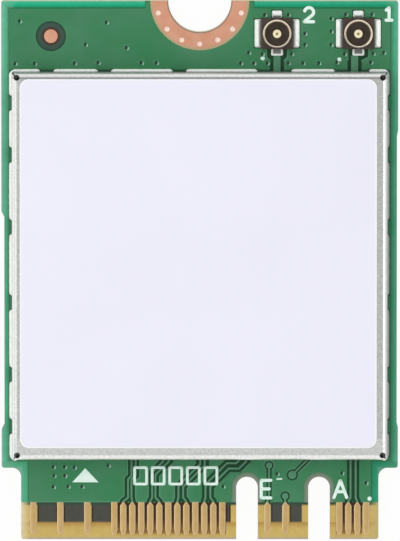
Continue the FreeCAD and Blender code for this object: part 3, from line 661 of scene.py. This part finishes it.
def bare_tongue(tree):
    """Bare tongue: tan epoxy, grey over inner copper, brown in the close gaps, pale at its sides."""
    axes = card_axes(tree)
    along = axes["Y"]
    resin = add_node(tree, "MapRange", {"Value": along, "From Min": END_Y * MM, "From Max": MASK_END_Y * MM})
    tan = add_node(
        tree,
        "ValToRGB",
        {"Fac": resin},
        stops=[
            (0.0, BEVEL_RESIN), (0.05, BEVEL_RESIN), (0.07, "#cbb064"), (0.30, BARE_RESIN), (0.44, "#b28d48"),
        ],
    )
    low, high = ((SHADE_END_Y + way) * MM for way in SHADE_FADE)
    fade = add_node(tree, "MapRange", {"Value": along, "From Min": low, "From Max": high})

    stops = [(0.0, "#000000")]
    for low, high in CLOSE_SPANS:
        stops += [(width_share(low), "#ffffff"), (width_share(high), "#000000")]
    close = add_node(tree, "ValToRGB", {"Fac": across_card(tree)}, stops=stops, steps=True)
    brown = add_node(
        tree,
        "ValToRGB",
        {"Fac": resin},
        stops=[
            (0.0, BEVEL_RESIN), (0.05, BEVEL_RESIN), (0.07, BARE_RESIN),
            (0.10, BARE_RESIN), (0.20, "#8a6428"), (0.50, "#4d2a06"), (0.75, "#381c00"),
        ],
    )

    across = add_node(tree, "Math", {0: axes["X"]}, operation="ABSOLUTE")
    low = finger_high.x * MM
    high = low + TONGUE_SIDE_FADE * MM
    aside = add_node(tree, "MapRange", {"Value": across, "From Min": low, "From Max": high})
    pale = add_node(
        tree, "ValToRGB", {"Fac": across_card(tree)}, stops=[(0.0, "#e2d3a9"), (1.0, "#bbac72")]
    )
    colour = tan
    for share, over in ((fade, inner_copper(tree)), (close, brown), (aside, pale)):
        colour = add_node(tree, "Mix", {0: share, 6: colour, 7: over}, data_type="RGBA")
    low, high = ((MASK_END_Y + way) * MM for way in (-SOFT_EDGE, SOFT_EDGE))
    return add_node(tree, "MapRange", {"Value": along, "From Min": high, "From Max": low}), colour


def cut_edges(tree):
    """Cut edges of the board: pale layers of glass cloth with darker resin between."""
    facing = add_node(tree, "NewGeometry").outputs["Normal"]
    upright = add_node(tree, "SeparateXYZ", {"Vector": facing}).outputs["Z"]
    flatness = add_node(tree, "Math", {0: upright}, operation="ABSOLUTE")
    level = card_axes(tree)["Z"]
    share = add_node(tree, "MapRange", {"Value": level, "From Max": LAMINATE_TOP * MM})
    layers = add_node(
        tree,
        "ValToRGB",
        {"Fac": share},
        stops=[
            (0.0, "#2f7a54"), (0.06, "#b7b083"), (0.30, "#cfc797"), (0.34, "#a59a68"), (0.38, "#cdc493"),
            (0.62, "#d0c898"), (0.66, "#a59a68"), (0.70, "#cbc292"), (0.94, "#b3ad80"), (1.0, "#2f7a54"),
        ],
    )
    return add_node(tree, "Math", {0: flatness, 1: STEEP}, operation="LESS_THAN"), layers


def laminate():
    """Glass-epoxy laminate: masked faces, a bare tongue and cut edges, with a trace of the woven glass."""
    material, tree, shader = new_material(
        "glass_epoxy_laminate", Roughness=0.42, Specular_IOR_Level=MASK_GLOSS
    )
    base = shader.inputs["Base Color"]
    tree.links.new(masked_border(tree).outputs["Color"], base)
    for finish in (pale_sides, tongue_sides, slot_rims, dot_ring, underside, bare_tongue, cut_edges):
        share, colour = finish(tree)
        blend_towards(material, share, colour)
    place = add_node(tree, "TexCoord").outputs["Object"]
    weave = add_node(tree, "TexNoise", {"Vector": place, "Scale": per_mm(WEAVE_SIZE), "Detail": 4.0})
    tone = add_node(
        tree, "MapRange", {"Value": weave, "From Min": 0.3, "From Max": 0.7, "To Min": 0.93, "To Max": 1.05}
    )
    toned = add_node(tree, "HueSaturation", {"Color": base.links[0].from_socket, "Value": tone})
    tree.links.new(toned.outputs["Color"], base)
    return material


shell_gold = receptacle_gold()

FINISHES = {
    "circuit_board": laminate(),
    "contact_fingers_bottom": contact_gold,
    "mounting_pad_top": land_copper,
    "mounting_pad_bottom": land_copper,
    "fiducial_dot": bare_copper,
    "shield_can": tin_plate(),
    "radio_chip": chip_mould,
    "crystal_base": alumina,
    "crystal_lid": crystal_cap,
    "capacitor_bodies": titanate,
    "capacitor_terminals": land_tin,
    "resistor_bodies": thick_film,
    "resistor_terminals": land_tin,
}
for number in (1, 2):
    FINISHES[f"antenna_{number}_shell"] = shell_gold
    FINISHES[f"antenna_{number}_pin"] = pin_gold
    FINISHES[f"antenna_{number}_base"] = insulator
    FINISHES[f"front_end_module_{number}"] = chip_mould
    FINISHES[f"diplexer_{number}"] = alumina
    FINISHES[f"power_inductor_{number}"] = ferrite

for node, material in FINISHES.items():
    slots = frame["nodes"][node].data.materials
    slots.clear()
    slots.append(material)


# Tools for the pieces

# Places nearer than this are one place
TOUCH = 1e-3


def work_on(piece):
    """Make one piece the only selected and active object."""
    bpy.ops.object.select_all(action="DESELECT")
    piece.select_set(True)
    bpy.context.view_layer.objects.active = piece


def edit_whole(piece, operator, **settings):
    """Run one operator on the whole of a piece in edit mode."""
    work_on(piece)
    bpy.ops.object.mode_set(mode="EDIT")
    bpy.ops.mesh.select_all(action="SELECT")
    operator(**settings)
    bpy.ops.object.mode_set(mode="OBJECT")


def merged_copy(node, name, *materials):
    """New piece with a node's mesh, its loose triangles merged into closed shells."""
    piece = bpy.data.objects.new(name, frame["nodes"][node].data.copy())
    bpy.context.scene.collection.objects.link(piece)
    work_on(piece)
    piece.data.materials.clear()
    for material in materials:
        piece.data.materials.append(material)
    bpy.ops.mesh.customdata_custom_splitnormals_clear()
    edit_whole(piece, bpy.ops.mesh.remove_doubles, threshold=TOUCH / 10 * MM)
    return piece


def joined(parts, name):
    """One piece made of several."""
    bpy.ops.object.select_all(action="DESELECT")
    for part in parts:
        part.select_set(True)
    bpy.context.view_layer.objects.active = parts[0]
    if len(parts) > 1:
        bpy.ops.object.join()
    piece = bpy.context.object
    piece.name = name
    piece.data.name = name
    return piece


def copies(first, places, name):
    """One piece made of copies of a first, each with its own mesh, at places on the card."""
    parts = []
    for x, y in places:
        part = bpy.data.objects.new(name + "_copy", first.data.copy())
        bpy.context.scene.collection.objects.link(part)
        part.location = (x * MM, y * MM, 0)
        work_on(part)
        bpy.ops.object.transform_apply(location=True)
        parts.append(part)
    bpy.data.objects.remove(first)
    return joined(parts, name)


def hand_over(piece, slot=None, *nodes):
    """Let a finished piece ride on the card and hide the nodes that it stands for; the finish named in slot
    is not used.
    """
    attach(piece, "root")
    if nodes:
        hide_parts(*nodes)


def select_faces(piece, wanted):
    """Select the faces for which a test of the face holds, and enter edit mode on them."""
    for edge in piece.data.edges:
        edge.select = False
    for vertex in piece.data.vertices:
        vertex.select = False
    for face in piece.data.polygons:
        face.select = wanted(face)
    bpy.ops.object.mode_set(mode="EDIT")
    bpy.ops.mesh.select_mode(type="FACE")


def round_corners(piece, radius, margin):
    """Round the upright edges of a piece that stand more than a margin outside the shield."""
    work_on(piece)
    bpy.ops.object.mode_set(mode="EDIT")
    bpy.ops.mesh.select_mode(type="EDGE")
    bpy.ops.mesh.select_all(action="DESELECT")
    bpy.ops.object.mode_set(mode="OBJECT")
    corners = piece.data.vertices
    for edge in piece.data.edges:
        start, stop = (corners[i].co / MM - CAN_MIDDLE for i in edge.vertices)
        upright = math.dist(start.xy, stop.xy) < TOUCH / 10
        edge.select = upright and (abs(start.x) > CAN_HALF.x + margin or abs(start.y) > CAN_HALF.y + margin)
    bpy.ops.object.mode_set(mode="EDIT")
    bpy.ops.mesh.bevel(offset=radius * MM, segments=4)
    bpy.ops.object.mode_set(mode="OBJECT")


# Plates: copper plane, traces, contacts and label

RIM = 0.05
PORT_AREA_LOW_X = 2.9
PORT_AREA_LOW_Y = 12.2
RING_CLEARANCE = 0.4


def rimmed_plate(node, name, face_material, rim_material, rim, drop):
    """Flat copper or paper whose top rolls down a little at its rim, which has a material of its own."""
    piece = merged_copy(node, name, face_material, rim_material)
    top = max(vertex.co.z for vertex in piece.data.vertices)
    select_faces(piece, lambda face: face.normal.z > LEVEL and abs(face.center.z - top) < TOUCH * MM)
    bpy.ops.mesh.inset(thickness=rim * MM, depth=0, use_boundary=True, use_even_offset=True)
    bpy.ops.mesh.select_all(action="INVERT")
    piece.active_material_index = 1
    bpy.ops.object.material_slot_assign()
    bpy.ops.object.mode_set(mode="OBJECT")
    inner = {i for face in piece.data.polygons if face.material_index == 0 for i in face.vertices}
    for vertex in piece.data.vertices:
        if vertex.index not in inner and abs(vertex.co.z - top) < TOUCH * MM:
            vertex.co.z -= drop * MM
    bpy.ops.object.shade_smooth_by_angle(angle=math.radians(30))
    return piece


def finish_plane(pour):
    """Finish the plane's rims: painted shade at the border's step and beside the solder, plain by bare metal,
    pale with a painted highlight at trenches.
    """
    pour.data.materials.append(mask_shade)
    pour.data.materials.append(mask_step_shade)
    plain, shade, edge_shade = 0, 2, 3
    for face in pour.data.polygons:
        x, y = face.center.x / MM, face.center.y / MM
        if face.material_index == plain:
            continue
        at_border = abs(x) > PLANE_HALF - RIM or y > PLANE_TOP_Y - RIM
        at_tongue = abs(x) > TONGUE_PLANE_HALF - RIM and y < SHOULDER_PLANE_Y + RIM
        at_shield = can_low.y < y < can_high.y
        past_shield = can_high.y <= y < can_high.y + LAND_REACH
        at_ports = y > PORT_AREA_LOW_Y and x > PORT_AREA_LOW_X
        at_dot = math.dist((x, y), DOT_MIDDLE.xy) < DOT_OPENING_RADIUS + RIM
        at_ring = math.dist((x, y), (0, TOP_Y)) < ring_high.x + RING_CLEARANCE
        at_slot = y < SLOT_ROUND_Y + SLOT_RADIUS + SLOT_MARGIN + RIM and x > 0
        if at_border:
            face.material_index = edge_shade
        elif at_shield or at_ports:
            face.material_index = shade
        elif at_tongue or at_dot or at_ring or at_slot or past_shield:
            face.material_index = plain

    # The mask closes in on the shield's lands towards the antennas
    for vertex in pour.data.vertices:
        out = vertex.co.y / MM - can_high.y
        if 0 < out < LAND_REACH:
            vertex.co.y = (can_high.y + out * OPEN_SHARE[1][1]) * MM


pour = rimmed_plate("ground_pour", "masked_ground_pour", mask_on_copper, mask_rim_highlight, rim=RIM, drop=0.012)
finish_plane(pour)
hand_over(pour, "masked_copper", "ground_pour")

traces = rimmed_plate("signal_traces", "masked_signal_traces", mask_on_trace, mask_rim_highlight, rim=0.035, drop=0.010)
hand_over(traces, "masked_copper", "signal_traces")

contacts = rimmed_plate(
    "contact_fingers_top", "gold_contacts", contact_gold, contact_rim_highlight, rim=0.04, drop=0.010
)
hand_over(contacts, "gold_contact", "contact_fingers_top")

sticker = rimmed_plate("label", "blank_label", label_paper, label_rim_highlight, rim=0.07, drop=0.02)
hand_over(sticker, "label_paper", "label")


# Soldering lands and solder

LUMP_SIZE = 0.25
LUMP_LEVEL = 0.4
BEAD_ROUND = 0.25
BEAD_LOW = 0.55
BEAD_SWELL = 0.025
LAND_ROUND = 0.15
LAND_MARGIN = 0.1
CORNER_ROUND = 0.25
PAD_ROUND = 0.08
PORT_REACH = 0.88
LAND_SOLDER_RISE = 3.0
TAIL_SOLDER_HEIGHT = 0.05


def reflowed(piece, material, voxel, rounds, lump):
    """Melt a piece of solder round: remesh it finely, smooth it and make it slightly lumpy."""
    piece.data.materials.append(material)
    remesh = piece.modifiers.new("melt", "REMESH")
    remesh.mode = "VOXEL"
    remesh.voxel_size = voxel * MM
    smooth = piece.modifiers.new("flow", "SMOOTH")
    smooth.iterations = rounds
    clouds = bpy.data.textures.new(piece.name + "_lumps", "CLOUDS")
    clouds.noise_scale = LUMP_SIZE * MM
    lumps = piece.modifiers.new("lumps", "DISPLACE")
    lumps.texture = clouds
    lumps.texture_coords = "LOCAL"
    lumps.strength = lump * MM
    lumps.mid_level = LUMP_LEVEL
    work_on(piece)
    for modifier in ("melt", "flow", "lumps"):
        bpy.ops.object.modifier_apply(modifier=modifier)
    bpy.ops.object.shade_smooth()


def draw_in(vertex, share):
    """Bring a vertex outside the shield nearer to its wall, and round the shield's corner."""
    place = vertex.co / MM - CAN_MIDDLE
    out = [abs(place[axis]) - CAN_HALF[axis] for axis in (0, 1)]
    farthest = max(out)
    past = []
    reach = []
    for axis in (0, 1):
        held = OPEN_SHARE[axis][place[axis] > 0]
        if out[axis] > 0:
            out[axis] *= held * (share if out[axis] == farthest else 1.0)
        past.append(out[axis] + CORNER_ROUND)
        reach.append(LAND_OVERHANG * held + CORNER_ROUND)
    spread = math.hypot(past[0] / reach[0], past[1] / reach[1])
    corner_share = 1 / spread if min(past) > 0 and spread > 1 else 1.0
    for axis in (0, 1):
        if out[axis] > 0 or corner_share < 1:
            size = CAN_HALF[axis] - CORNER_ROUND + past[axis] * corner_share
            vertex.co[axis] = (CAN_MIDDLE[axis] + math.copysign(size, place[axis])) * MM


def round_ends(bead):
    """Draw in both ends of a bead along the shield's wall, except where it wraps a corner."""
    places = [vertex.co / MM - CAN_MIDDLE for vertex in bead.data.vertices]
    low = [min(place[axis] for place in places) for axis in (0, 1)]
    high = [max(place[axis] for place in places) for axis in (0, 1)]
    for vertex, place in zip(bead.data.vertices, places):
        along = 1 if abs(place.x) - CAN_HALF.x > abs(place.y) - CAN_HALF.y else 0
        share = 1.0
        for end in (low[along], high[along]):
            way = abs(place[along] - end)
            if abs(end) < CAN_HALF[along] - BEAD_ROUND and way < BEAD_ROUND:
                share = math.sqrt(1 - (1 - way / BEAD_ROUND) ** 2)
        draw_in(vertex, share)
        rise = vertex.co.z / MM - SURFACE
        if rise > 0:
            vertex.co.z = (SURFACE + rise * BEAD_LOW * (1 + share) / 2) * MM


def shield_fillets():
    """Solder beads along the shield's feet, lower and rounder than the fillets of the solids."""
    piece = merged_copy("shield_solder", "shield_solder_beads")
    reflowed(piece, bead_tin, voxel=0.028, rounds=6, lump=0.04)
    edit_whole(piece, bpy.ops.transform.shrink_fatten, value=BEAD_SWELL * MM)
    edit_whole(piece, bpy.ops.mesh.separate, type="LOOSE")
    beads = list(bpy.context.selected_objects)
    for bead in beads:
        round_ends(bead)
    return joined(beads, "shield_solder_beads")


def shield_pads():
    """Tinned lands of the shield, open as far as the mask leaves them and round at their outer corners."""
    piece = merged_copy("shield_lands", "rounded_shield_lands", land_tin)
    round_corners(piece, LAND_ROUND, LAND_MARGIN)
    for vertex in piece.data.vertices:
        draw_in(vertex, 1.0)
    return piece


def antenna_pads():
    """Tinned lands of the receptacles with rounded corners."""
    piece = merged_copy("antenna_lands", "rounded_antenna_lands", land_tin)
    round_corners(piece, PAD_ROUND, 0.0)
    return piece


def antenna_fillets():
    """Solder of the receptacles: it wets each whole land and stands highest over the tabs' ends."""
    over_tabs = merged_copy("antenna_solder", "over_tabs")
    round_corners(over_tabs, PAD_ROUND / 2, 0.0)
    for vertex in over_tabs.data.vertices:
        if vertex.co.y < (PORT_Y - PORT_REACH) * MM:
            vertex.co.z = min(vertex.co.z, (SURFACE + TAIL_SOLDER_HEIGHT) * MM)
    on_lands = merged_copy("antenna_lands", "on_lands")
    round_corners(on_lands, PAD_ROUND, 0.0)
    root = (0, 0, LAMINATE_TOP * MM)
    edit_whole(on_lands, bpy.ops.transform.resize, value=(1, 1, LAND_SOLDER_RISE), center_override=root)
    piece = joined([over_tabs, on_lands], "antenna_solder_beads")
    reflowed(piece, solder_tin, voxel=0.02, rounds=4, lump=0.02)
    return piece


hand_over(shield_pads(), "tinned_land", "shield_lands")
hand_over(antenna_pads(), "tinned_land", "antenna_lands")
hand_over(shield_fillets(), "solder", "shield_solder")
hand_over(antenna_fillets(), "solder", "antenna_solder")


# Silkscreen

INK_HEIGHT = 0.02
INK_EDGE = 0.015
PORT_STROKE = 0.18
KEY_STROKE = 0.175
BOX_STROKE = 0.15
DASH_STROKE = 0.09


def arc(middle, radius, start, stop, steps):
    """Points along a round stretch, in pixels with y downwards and angles in degrees anticlockwise."""
    angles = [math.radians(start + (stop - start) * i / steps) for i in range(steps + 1)]
    return [(middle[0] + radius * math.cos(a), middle[1] - radius * math.sin(a)) for a in angles]


PORT_ONE_PX = [[(386.0, 10.6), (388.8, 8.2)], [(388.8, 8.2), (388.8, 20.6)], [(385.8, 20.6), (391.6, 20.6)]]
PORT_TWO_PX = [
    arc((308.9, 12.6), 4.5, 165, -35, 10) + [(303.9, 22.2)],
    [(303.9, 22.2), (313.4, 22.2)],
]
KEY_E_PX = [
    [(261.3, 480.6), (261.3, 498.2)],
    [(261.3, 480.6), (270.9, 480.6)],
    [(261.3, 489.2), (269.3, 489.2)],
    [(261.3, 498.2), (270.9, 498.2)],
]
KEY_A_PX = [
    [(334.2, 497.8), (340.6, 480.8)],
    [(340.6, 480.8), (347.0, 497.8)],
    [(336.4, 492.0), (344.8, 492.0)],
]
DASH_PX = [[(277.3, 479.2), (281.7, 479.2)]]
BOX_COUNT = 5
BOX_START_PX = (134.5, 467.8)
BOX_SIZE_PX = (12.0, 16.5)
BOX_PITCH_PX = 17.6
ARROW_PX = ((72.0, 482.6), (98.5, 482.6), (85.0, 468.4))
INK_DOTS_PX = ((262.6, 58.6), (339.0, 59.9), (369.8, 499.0))
INK_DOT_RADIUS = 0.12


def date_boxes():
    """Outlines of a row of plain date boxes, each drawn with four strokes."""
    strokes = []
    for i in range(BOX_COUNT):
        left = BOX_START_PX[0] + i * BOX_PITCH_PX
        right = left + BOX_SIZE_PX[0]
        top = BOX_START_PX[1]
        bottom = top + BOX_SIZE_PX[1]
        corners = [(left, top), (right, top), (right, bottom), (left, bottom), (left, top)]
        strokes += [corners[k:k + 2] for k in range(4)]
    return strokes


def flatten(piece, share):
    """Press a piece towards the card's surface."""
    root = (0, 0, SURFACE * MM)
    edit_whole(piece, bpy.ops.transform.resize, value=(1, 1, share), center_override=root)
    bpy.ops.object.shade_smooth_by_angle(angle=math.radians(40))


def ink_ball(radius, place, segments):
    """Ball of ink with its middle at a place, still to be pressed flat."""
    bpy.ops.object.select_all(action="DESELECT")
    bpy.ops.mesh.primitive_uv_sphere_add(
        segments=segments, ring_count=segments // 2, radius=radius * MM, location=place
    )
    bpy.ops.object.transform_apply(location=True)
    return bpy.context.object


def ink_strokes(name, strokes, width):
    """Pen strokes of ink: round-ended tubes, joined and pressed flat on the card."""
    parts = []
    for stroke in strokes:
        places = [Vector((*on_card(*pixel), SURFACE)) * MM for pixel in stroke]
        curve = bpy.data.curves.new(name + "_stroke", "CURVE")
        curve.dimensions = "3D"
        curve.bevel_depth = width / 2 * MM
        curve.bevel_resolution = 3
        curve.use_fill_caps = True
        spline = curve.splines.new("POLY")
        spline.points.add(len(places) - 1)
        for control, place in zip(spline.points, places):
            control.co = (*place, 1.0)
        tube = bpy.data.objects.new(name + "_stroke", curve)
        bpy.context.scene.collection.objects.link(tube)
        work_on(tube)
        bpy.ops.object.convert(target="MESH")
        parts.append(bpy.context.object)
        parts += [ink_ball(width / 2, place, segments=16) for place in (places[0], places[-1])]
    piece = joined(parts, name)
    flatten(piece, INK_HEIGHT / (width / 2))
    return piece


def ink_arrow():
    """Solid triangle with a softened edge."""
    corners = [on_card(*pixel) for pixel in ARROW_PX]
    bpy.ops.object.select_all(action="DESELECT")
    bpy.ops.mesh.primitive_circle_add(vertices=3, radius=MM, fill_type="NGON", location=(0, 0, 0))
    piece = bpy.context.object
    for vertex, (x, y) in zip(piece.data.vertices, corners):
        vertex.co = (x * MM, y * MM, (SURFACE - INK_HEIGHT) * MM)
    bpy.ops.object.mode_set(mode="EDIT")
    bpy.ops.mesh.select_all(action="SELECT")
    bpy.ops.mesh.normals_make_consistent(inside=False)
    bpy.ops.mesh.extrude_region_move(TRANSFORM_OT_translate={"value": (0, 0, 2 * INK_HEIGHT * MM)})
    bpy.ops.mesh.select_all(action="SELECT")
    bpy.ops.mesh.normals_make_consistent(inside=False)
    bpy.ops.mesh.bevel(offset=INK_EDGE * MM, segments=2)
    bpy.ops.object.mode_set(mode="OBJECT")
    piece.name = "silkscreen_arrow"
    return piece


def ink_dots():
    """Small round domes of ink."""
    first = ink_ball(INK_DOT_RADIUS, (0, 0, SURFACE * MM), segments=20)
    flatten(first, INK_HEIGHT / INK_DOT_RADIUS)
    return copies(first, [on_card(*pixel) for pixel in INK_DOTS_PX], "silkscreen_dots")


silkscreen = [
    ink_strokes("port_number_one", PORT_ONE_PX, PORT_STROKE),
    ink_strokes("port_number_two", PORT_TWO_PX, PORT_STROKE),
    ink_strokes("key_letter_e", KEY_E_PX, KEY_STROKE),
    ink_strokes("key_letter_a", KEY_A_PX, KEY_STROKE),
    ink_strokes("pin_dash", DASH_PX, DASH_STROKE),
    ink_strokes("date_boxes", date_boxes(), BOX_STROKE),
    ink_arrow(),
    ink_dots(),
]
for piece in silkscreen:
    piece.data.materials.clear()
    piece.data.materials.append(silk_ink)
    hand_over(piece)


# Tented vias and the plugged holes of the screw land

VIA_PLACES_PX = (
    (19.8, 21.4), (106.5, 22.7), (85.5, 44.9), (126.5, 48.1), (15.3, 63.8), (34.7, 63.8), (74.6, 63.5),
    (98.2, 63.1), (141.3, 63.1), (156.3, 63.1), (264.4, 15.3), (288.0, 15.3), (304.6, 33.8), (304.6, 44.9),
    (248.5, 52.9), (262.1, 54.2), (291.3, 54.2), (240.6, 63.4), (253.6, 63.4), (267.0, 63.4), (288.0, 63.4),
    (302.7, 63.4), (318.6, 63.4), (345.4, 14.7), (371.6, 14.7), (330.7, 18.9), (330.7, 31.6), (330.7, 44.9),
    (344.1, 54.2), (372.8, 53.8), (383.3, 52.9), (336.5, 62.5), (370.3, 62.5), (53.0, 467.0), (64.2, 467.0),
    (74.0, 467.4), (53.7, 475.8), (64.5, 475.8), (53.0, 487.0), (67.7, 486.7), (81.7, 486.7), (108.0, 465.6),
    (223.0, 486.6), (277.0, 474.0), (341.9, 473.2), (366.1, 483.1),
)
VIA_RADIUS = 0.205
VIA_ROOT = 0.02
# Each ring of a dish: how far in, and how far up or down, from the one before
VIA_RINGS = ((0.03, 0.012), (0.03, 0.003), (0.03, -0.006), (0.03, -0.006))
VIA_SQUEEZE = 0.7
VIA_GLINT_X = (0.05, 0.15)
VIA_GLINT_Y = (-0.12, 0.02)

PLUG_COUNT = 7
PLUG_STEP = 24.5
PLUG_RADIUS = 0.14
PLUG_INSET = 0.35
PLUG_DEPTH = 0.15
PLUG_RINGS = ((0.02, 0.004), (0.03, -0.010), (0.04, -0.012))


def dished_post(radius, depth, rings, *materials):
    """Short post up to the card's surface, its top drawn into rings; stays in edit mode on its middle."""
    bpy.ops.object.select_all(action="DESELECT")
    bpy.ops.mesh.primitive_cylinder_add(
        vertices=20, radius=radius * MM, depth=depth * MM, location=(0, 0, (SURFACE - depth / 2) * MM)
    )
    piece = bpy.context.object
    bpy.ops.object.transform_apply(location=True)
    for material in materials:
        piece.data.materials.append(material)
    select_faces(piece, lambda face: face.normal.z > LEVEL)
    for inwards, upwards in rings:
        bpy.ops.mesh.inset(thickness=inwards * MM, depth=upwards * MM)
    return piece


def via_dish():
    """Mask sagged into a plated hole: a low round swelling with a narrow dish in it, painted dark as shade.
    """
    piece = dished_post(VIA_RADIUS, VIA_ROOT, VIA_RINGS, via_gloss, via_shade, via_glint)
    bpy.ops.mesh.select_more()
    piece.active_material_index = 1
    bpy.ops.object.material_slot_assign()
    bpy.ops.transform.resize(value=(VIA_SQUEEZE, 1, 1), center_override=(0, 0, SURFACE * MM))
    bpy.ops.object.mode_set(mode="OBJECT")
    for face in piece.data.polygons:
        x, y = face.center.x / MM, face.center.y / MM
        # Faces on one side of the lip take the painted glint
        on_lip = face.material_index == 0 and face.normal.z > STEEP
        if on_lip and VIA_GLINT_X[0] < x < VIA_GLINT_X[1] and VIA_GLINT_Y[0] < y < VIA_GLINT_Y[1]:
            face.material_index = 2
    bpy.ops.object.shade_smooth()
    return piece


def hole_plug():
    """Tin that fills a plated hole level with the land, slightly dished."""
    piece = dished_post(PLUG_RADIUS, PLUG_DEPTH, PLUG_RINGS, plug_tin)
    bpy.ops.object.mode_set(mode="OBJECT")
    bpy.ops.object.shade_smooth_by_angle(angle=math.radians(50))
    return piece


def plug_places():
    """Places of the screw land's holes, in an even row along its half round."""
    radius = ring_high.x - PLUG_INSET
    angles = [math.radians((i - (PLUG_COUNT - 1) / 2) * PLUG_STEP - 90) for i in range(PLUG_COUNT)]
    return [(radius * math.cos(angle), TOP_Y + radius * math.sin(angle)) for angle in angles]


vias = copies(via_dish(), [on_card(*pixel) for pixel in VIA_PLACES_PX], "tented_vias")
hand_over(vias, "masked_copper")

plugs = copies(hole_plug(), plug_places(), "plugged_holes")
hand_over(plugs, "bare_copper")


# Stage: floor, light and camera

FLOOR_SIZE = 2000.0
FLOOR_GAP = 0.02
FLOOR_GLOW = 0.94
SKY_STRENGTH = 0.9


def white_floor():
    """Plain white sheet that keeps the card's shadow and reads as white to the eye and to reflections."""
    material, tree, shader = new_material("matt_white_sheet", Roughness=0.9, Specular_IOR_Level=0.0)
    shader.inputs["Base Color"].default_value = linear("#f4f4f4")
    path = add_node(tree, "LightPath").outputs
    seen = add_node(tree, "Math", {0: path["Is Camera Ray"], 1: path["Is Glossy Ray"]}, operation="MAXIMUM")
    seen = add_node(tree, "Math", {0: seen, 1: path["Is Transmission Ray"]}, operation="MAXIMUM")
    share = add_node(tree, "Math", {0: seen, 1: FLOOR_GLOW}, operation="MULTIPLY")
    glow = add_node(tree, "Emission", {"Color": (1, 1, 1, 1), "Strength": 1.0})
    sheet = add_node(tree, "MixShader", {0: share, 1: shader, 2: glow})

    # Clear from below, and to the studio's light from there, so that the card's underside can be seen too
    back = add_node(tree, "NewGeometry").outputs["Backfacing"]
    lit = add_node(tree, "Math", {0: path["Is Diffuse Ray"], 1: path["Is Shadow Ray"]}, operation="MAXIMUM")
    clear = add_node(tree, "Math", {0: back, 1: lit}, operation="MAXIMUM")
    glass = add_node(tree, "BsdfTransparent")
    mix = add_node(tree, "MixShader", {0: clear, 1: sheet, 2: glass})
    tree.links.new(mix.outputs[0], tree.nodes["Material Output"].inputs["Surface"])
    return material


bpy.ops.object.select_all(action="DESELECT")
bpy.ops.mesh.primitive_plane_add(size=FLOOR_SIZE * MM, location=(0, 0, -FLOOR_GAP * MM))
floor = bpy.context.object
floor.name = "floor_sheet"
floor.data.materials.append(white_floor())

# White studio, dimmer overhead round the camera
world = bpy.data.worlds.new("soft_studio")
bpy.context.scene.world = world
world.use_nodes = True
sky = world.node_tree
background = sky.nodes["Background"]
away = Vector((0, math.sin(CAMERA_TILT), math.cos(CAMERA_TILT)))
direction = add_node(sky, "TexCoord").outputs["Generated"]
nearness = add_node(sky, "VectorMath", {0: direction, 1: away}, operation="DOT_PRODUCT")
glow = add_node(
    sky,
    "ValToRGB",
    {"Fac": nearness},
    stops=[(0.0, "#ffffff"), (0.90, "#ffffff"), (0.96, "#a8a8a8"), (0.985, "#8c8c8c"), (1.0, "#808080")],
)
sky.links.new(glow.outputs["Color"], background.inputs["Color"])
background.inputs["Strength"].default_value = SKY_STRENGTH
backdrop = add_node(sky, "Background", {"Color": (1, 1, 1, 1), "Strength": 1.0})
seen = add_node(sky, "LightPath").outputs["Is Camera Ray"]
mix = add_node(sky, "MixShader", {0: seen, 1: background, 2: backdrop})
sky.links.new(mix.outputs[0], sky.nodes["World Output"].inputs["Surface"])


def softbox(name, place, size, watts):
    """Square lamp that faces the card."""
    lamp = bpy.data.lights.new(name, "AREA")
    lamp.size = size * MM
    lamp.energy = watts
    piece = bpy.data.objects.new(name, lamp)
    piece.location = Vector(place) * MM
    piece.rotation_euler = (-piece.location).to_track_quat("-Z", "Y").to_euler()
    bpy.context.scene.collection.objects.link(piece)


softbox("key_softbox", place=(-320, 120, 450), size=560, watts=0.75)
softbox("rim_softbox", place=(400, 0, 390), size=160, watts=0.18)

CAMERA_DISTANCE = 700.0
CAMERA_AIM = (0.014, 0.0055, SURFACE)
SENSOR = 36.0
CLIP_START = 10.0
frame_height = PHOTO_HEIGHT_PX / PX_PER_MM
camera_data = bpy.data.cameras.new("overhead_camera")
camera = bpy.data.objects.new("overhead_camera", camera_data)
bpy.context.scene.collection.objects.link(camera)
camera_data.sensor_width = SENSOR
camera_data.lens = SENSOR * CAMERA_DISTANCE / frame_height
camera_data.clip_start = CLIP_START * MM
camera.location = (Vector(CAMERA_AIM) + CAMERA_DISTANCE * away) * MM
camera.rotation_euler = (-CAMERA_TILT, 0, 0)
bpy.context.scene.camera = camera

bpy.context.scene.view_settings.view_transform = "Standard"
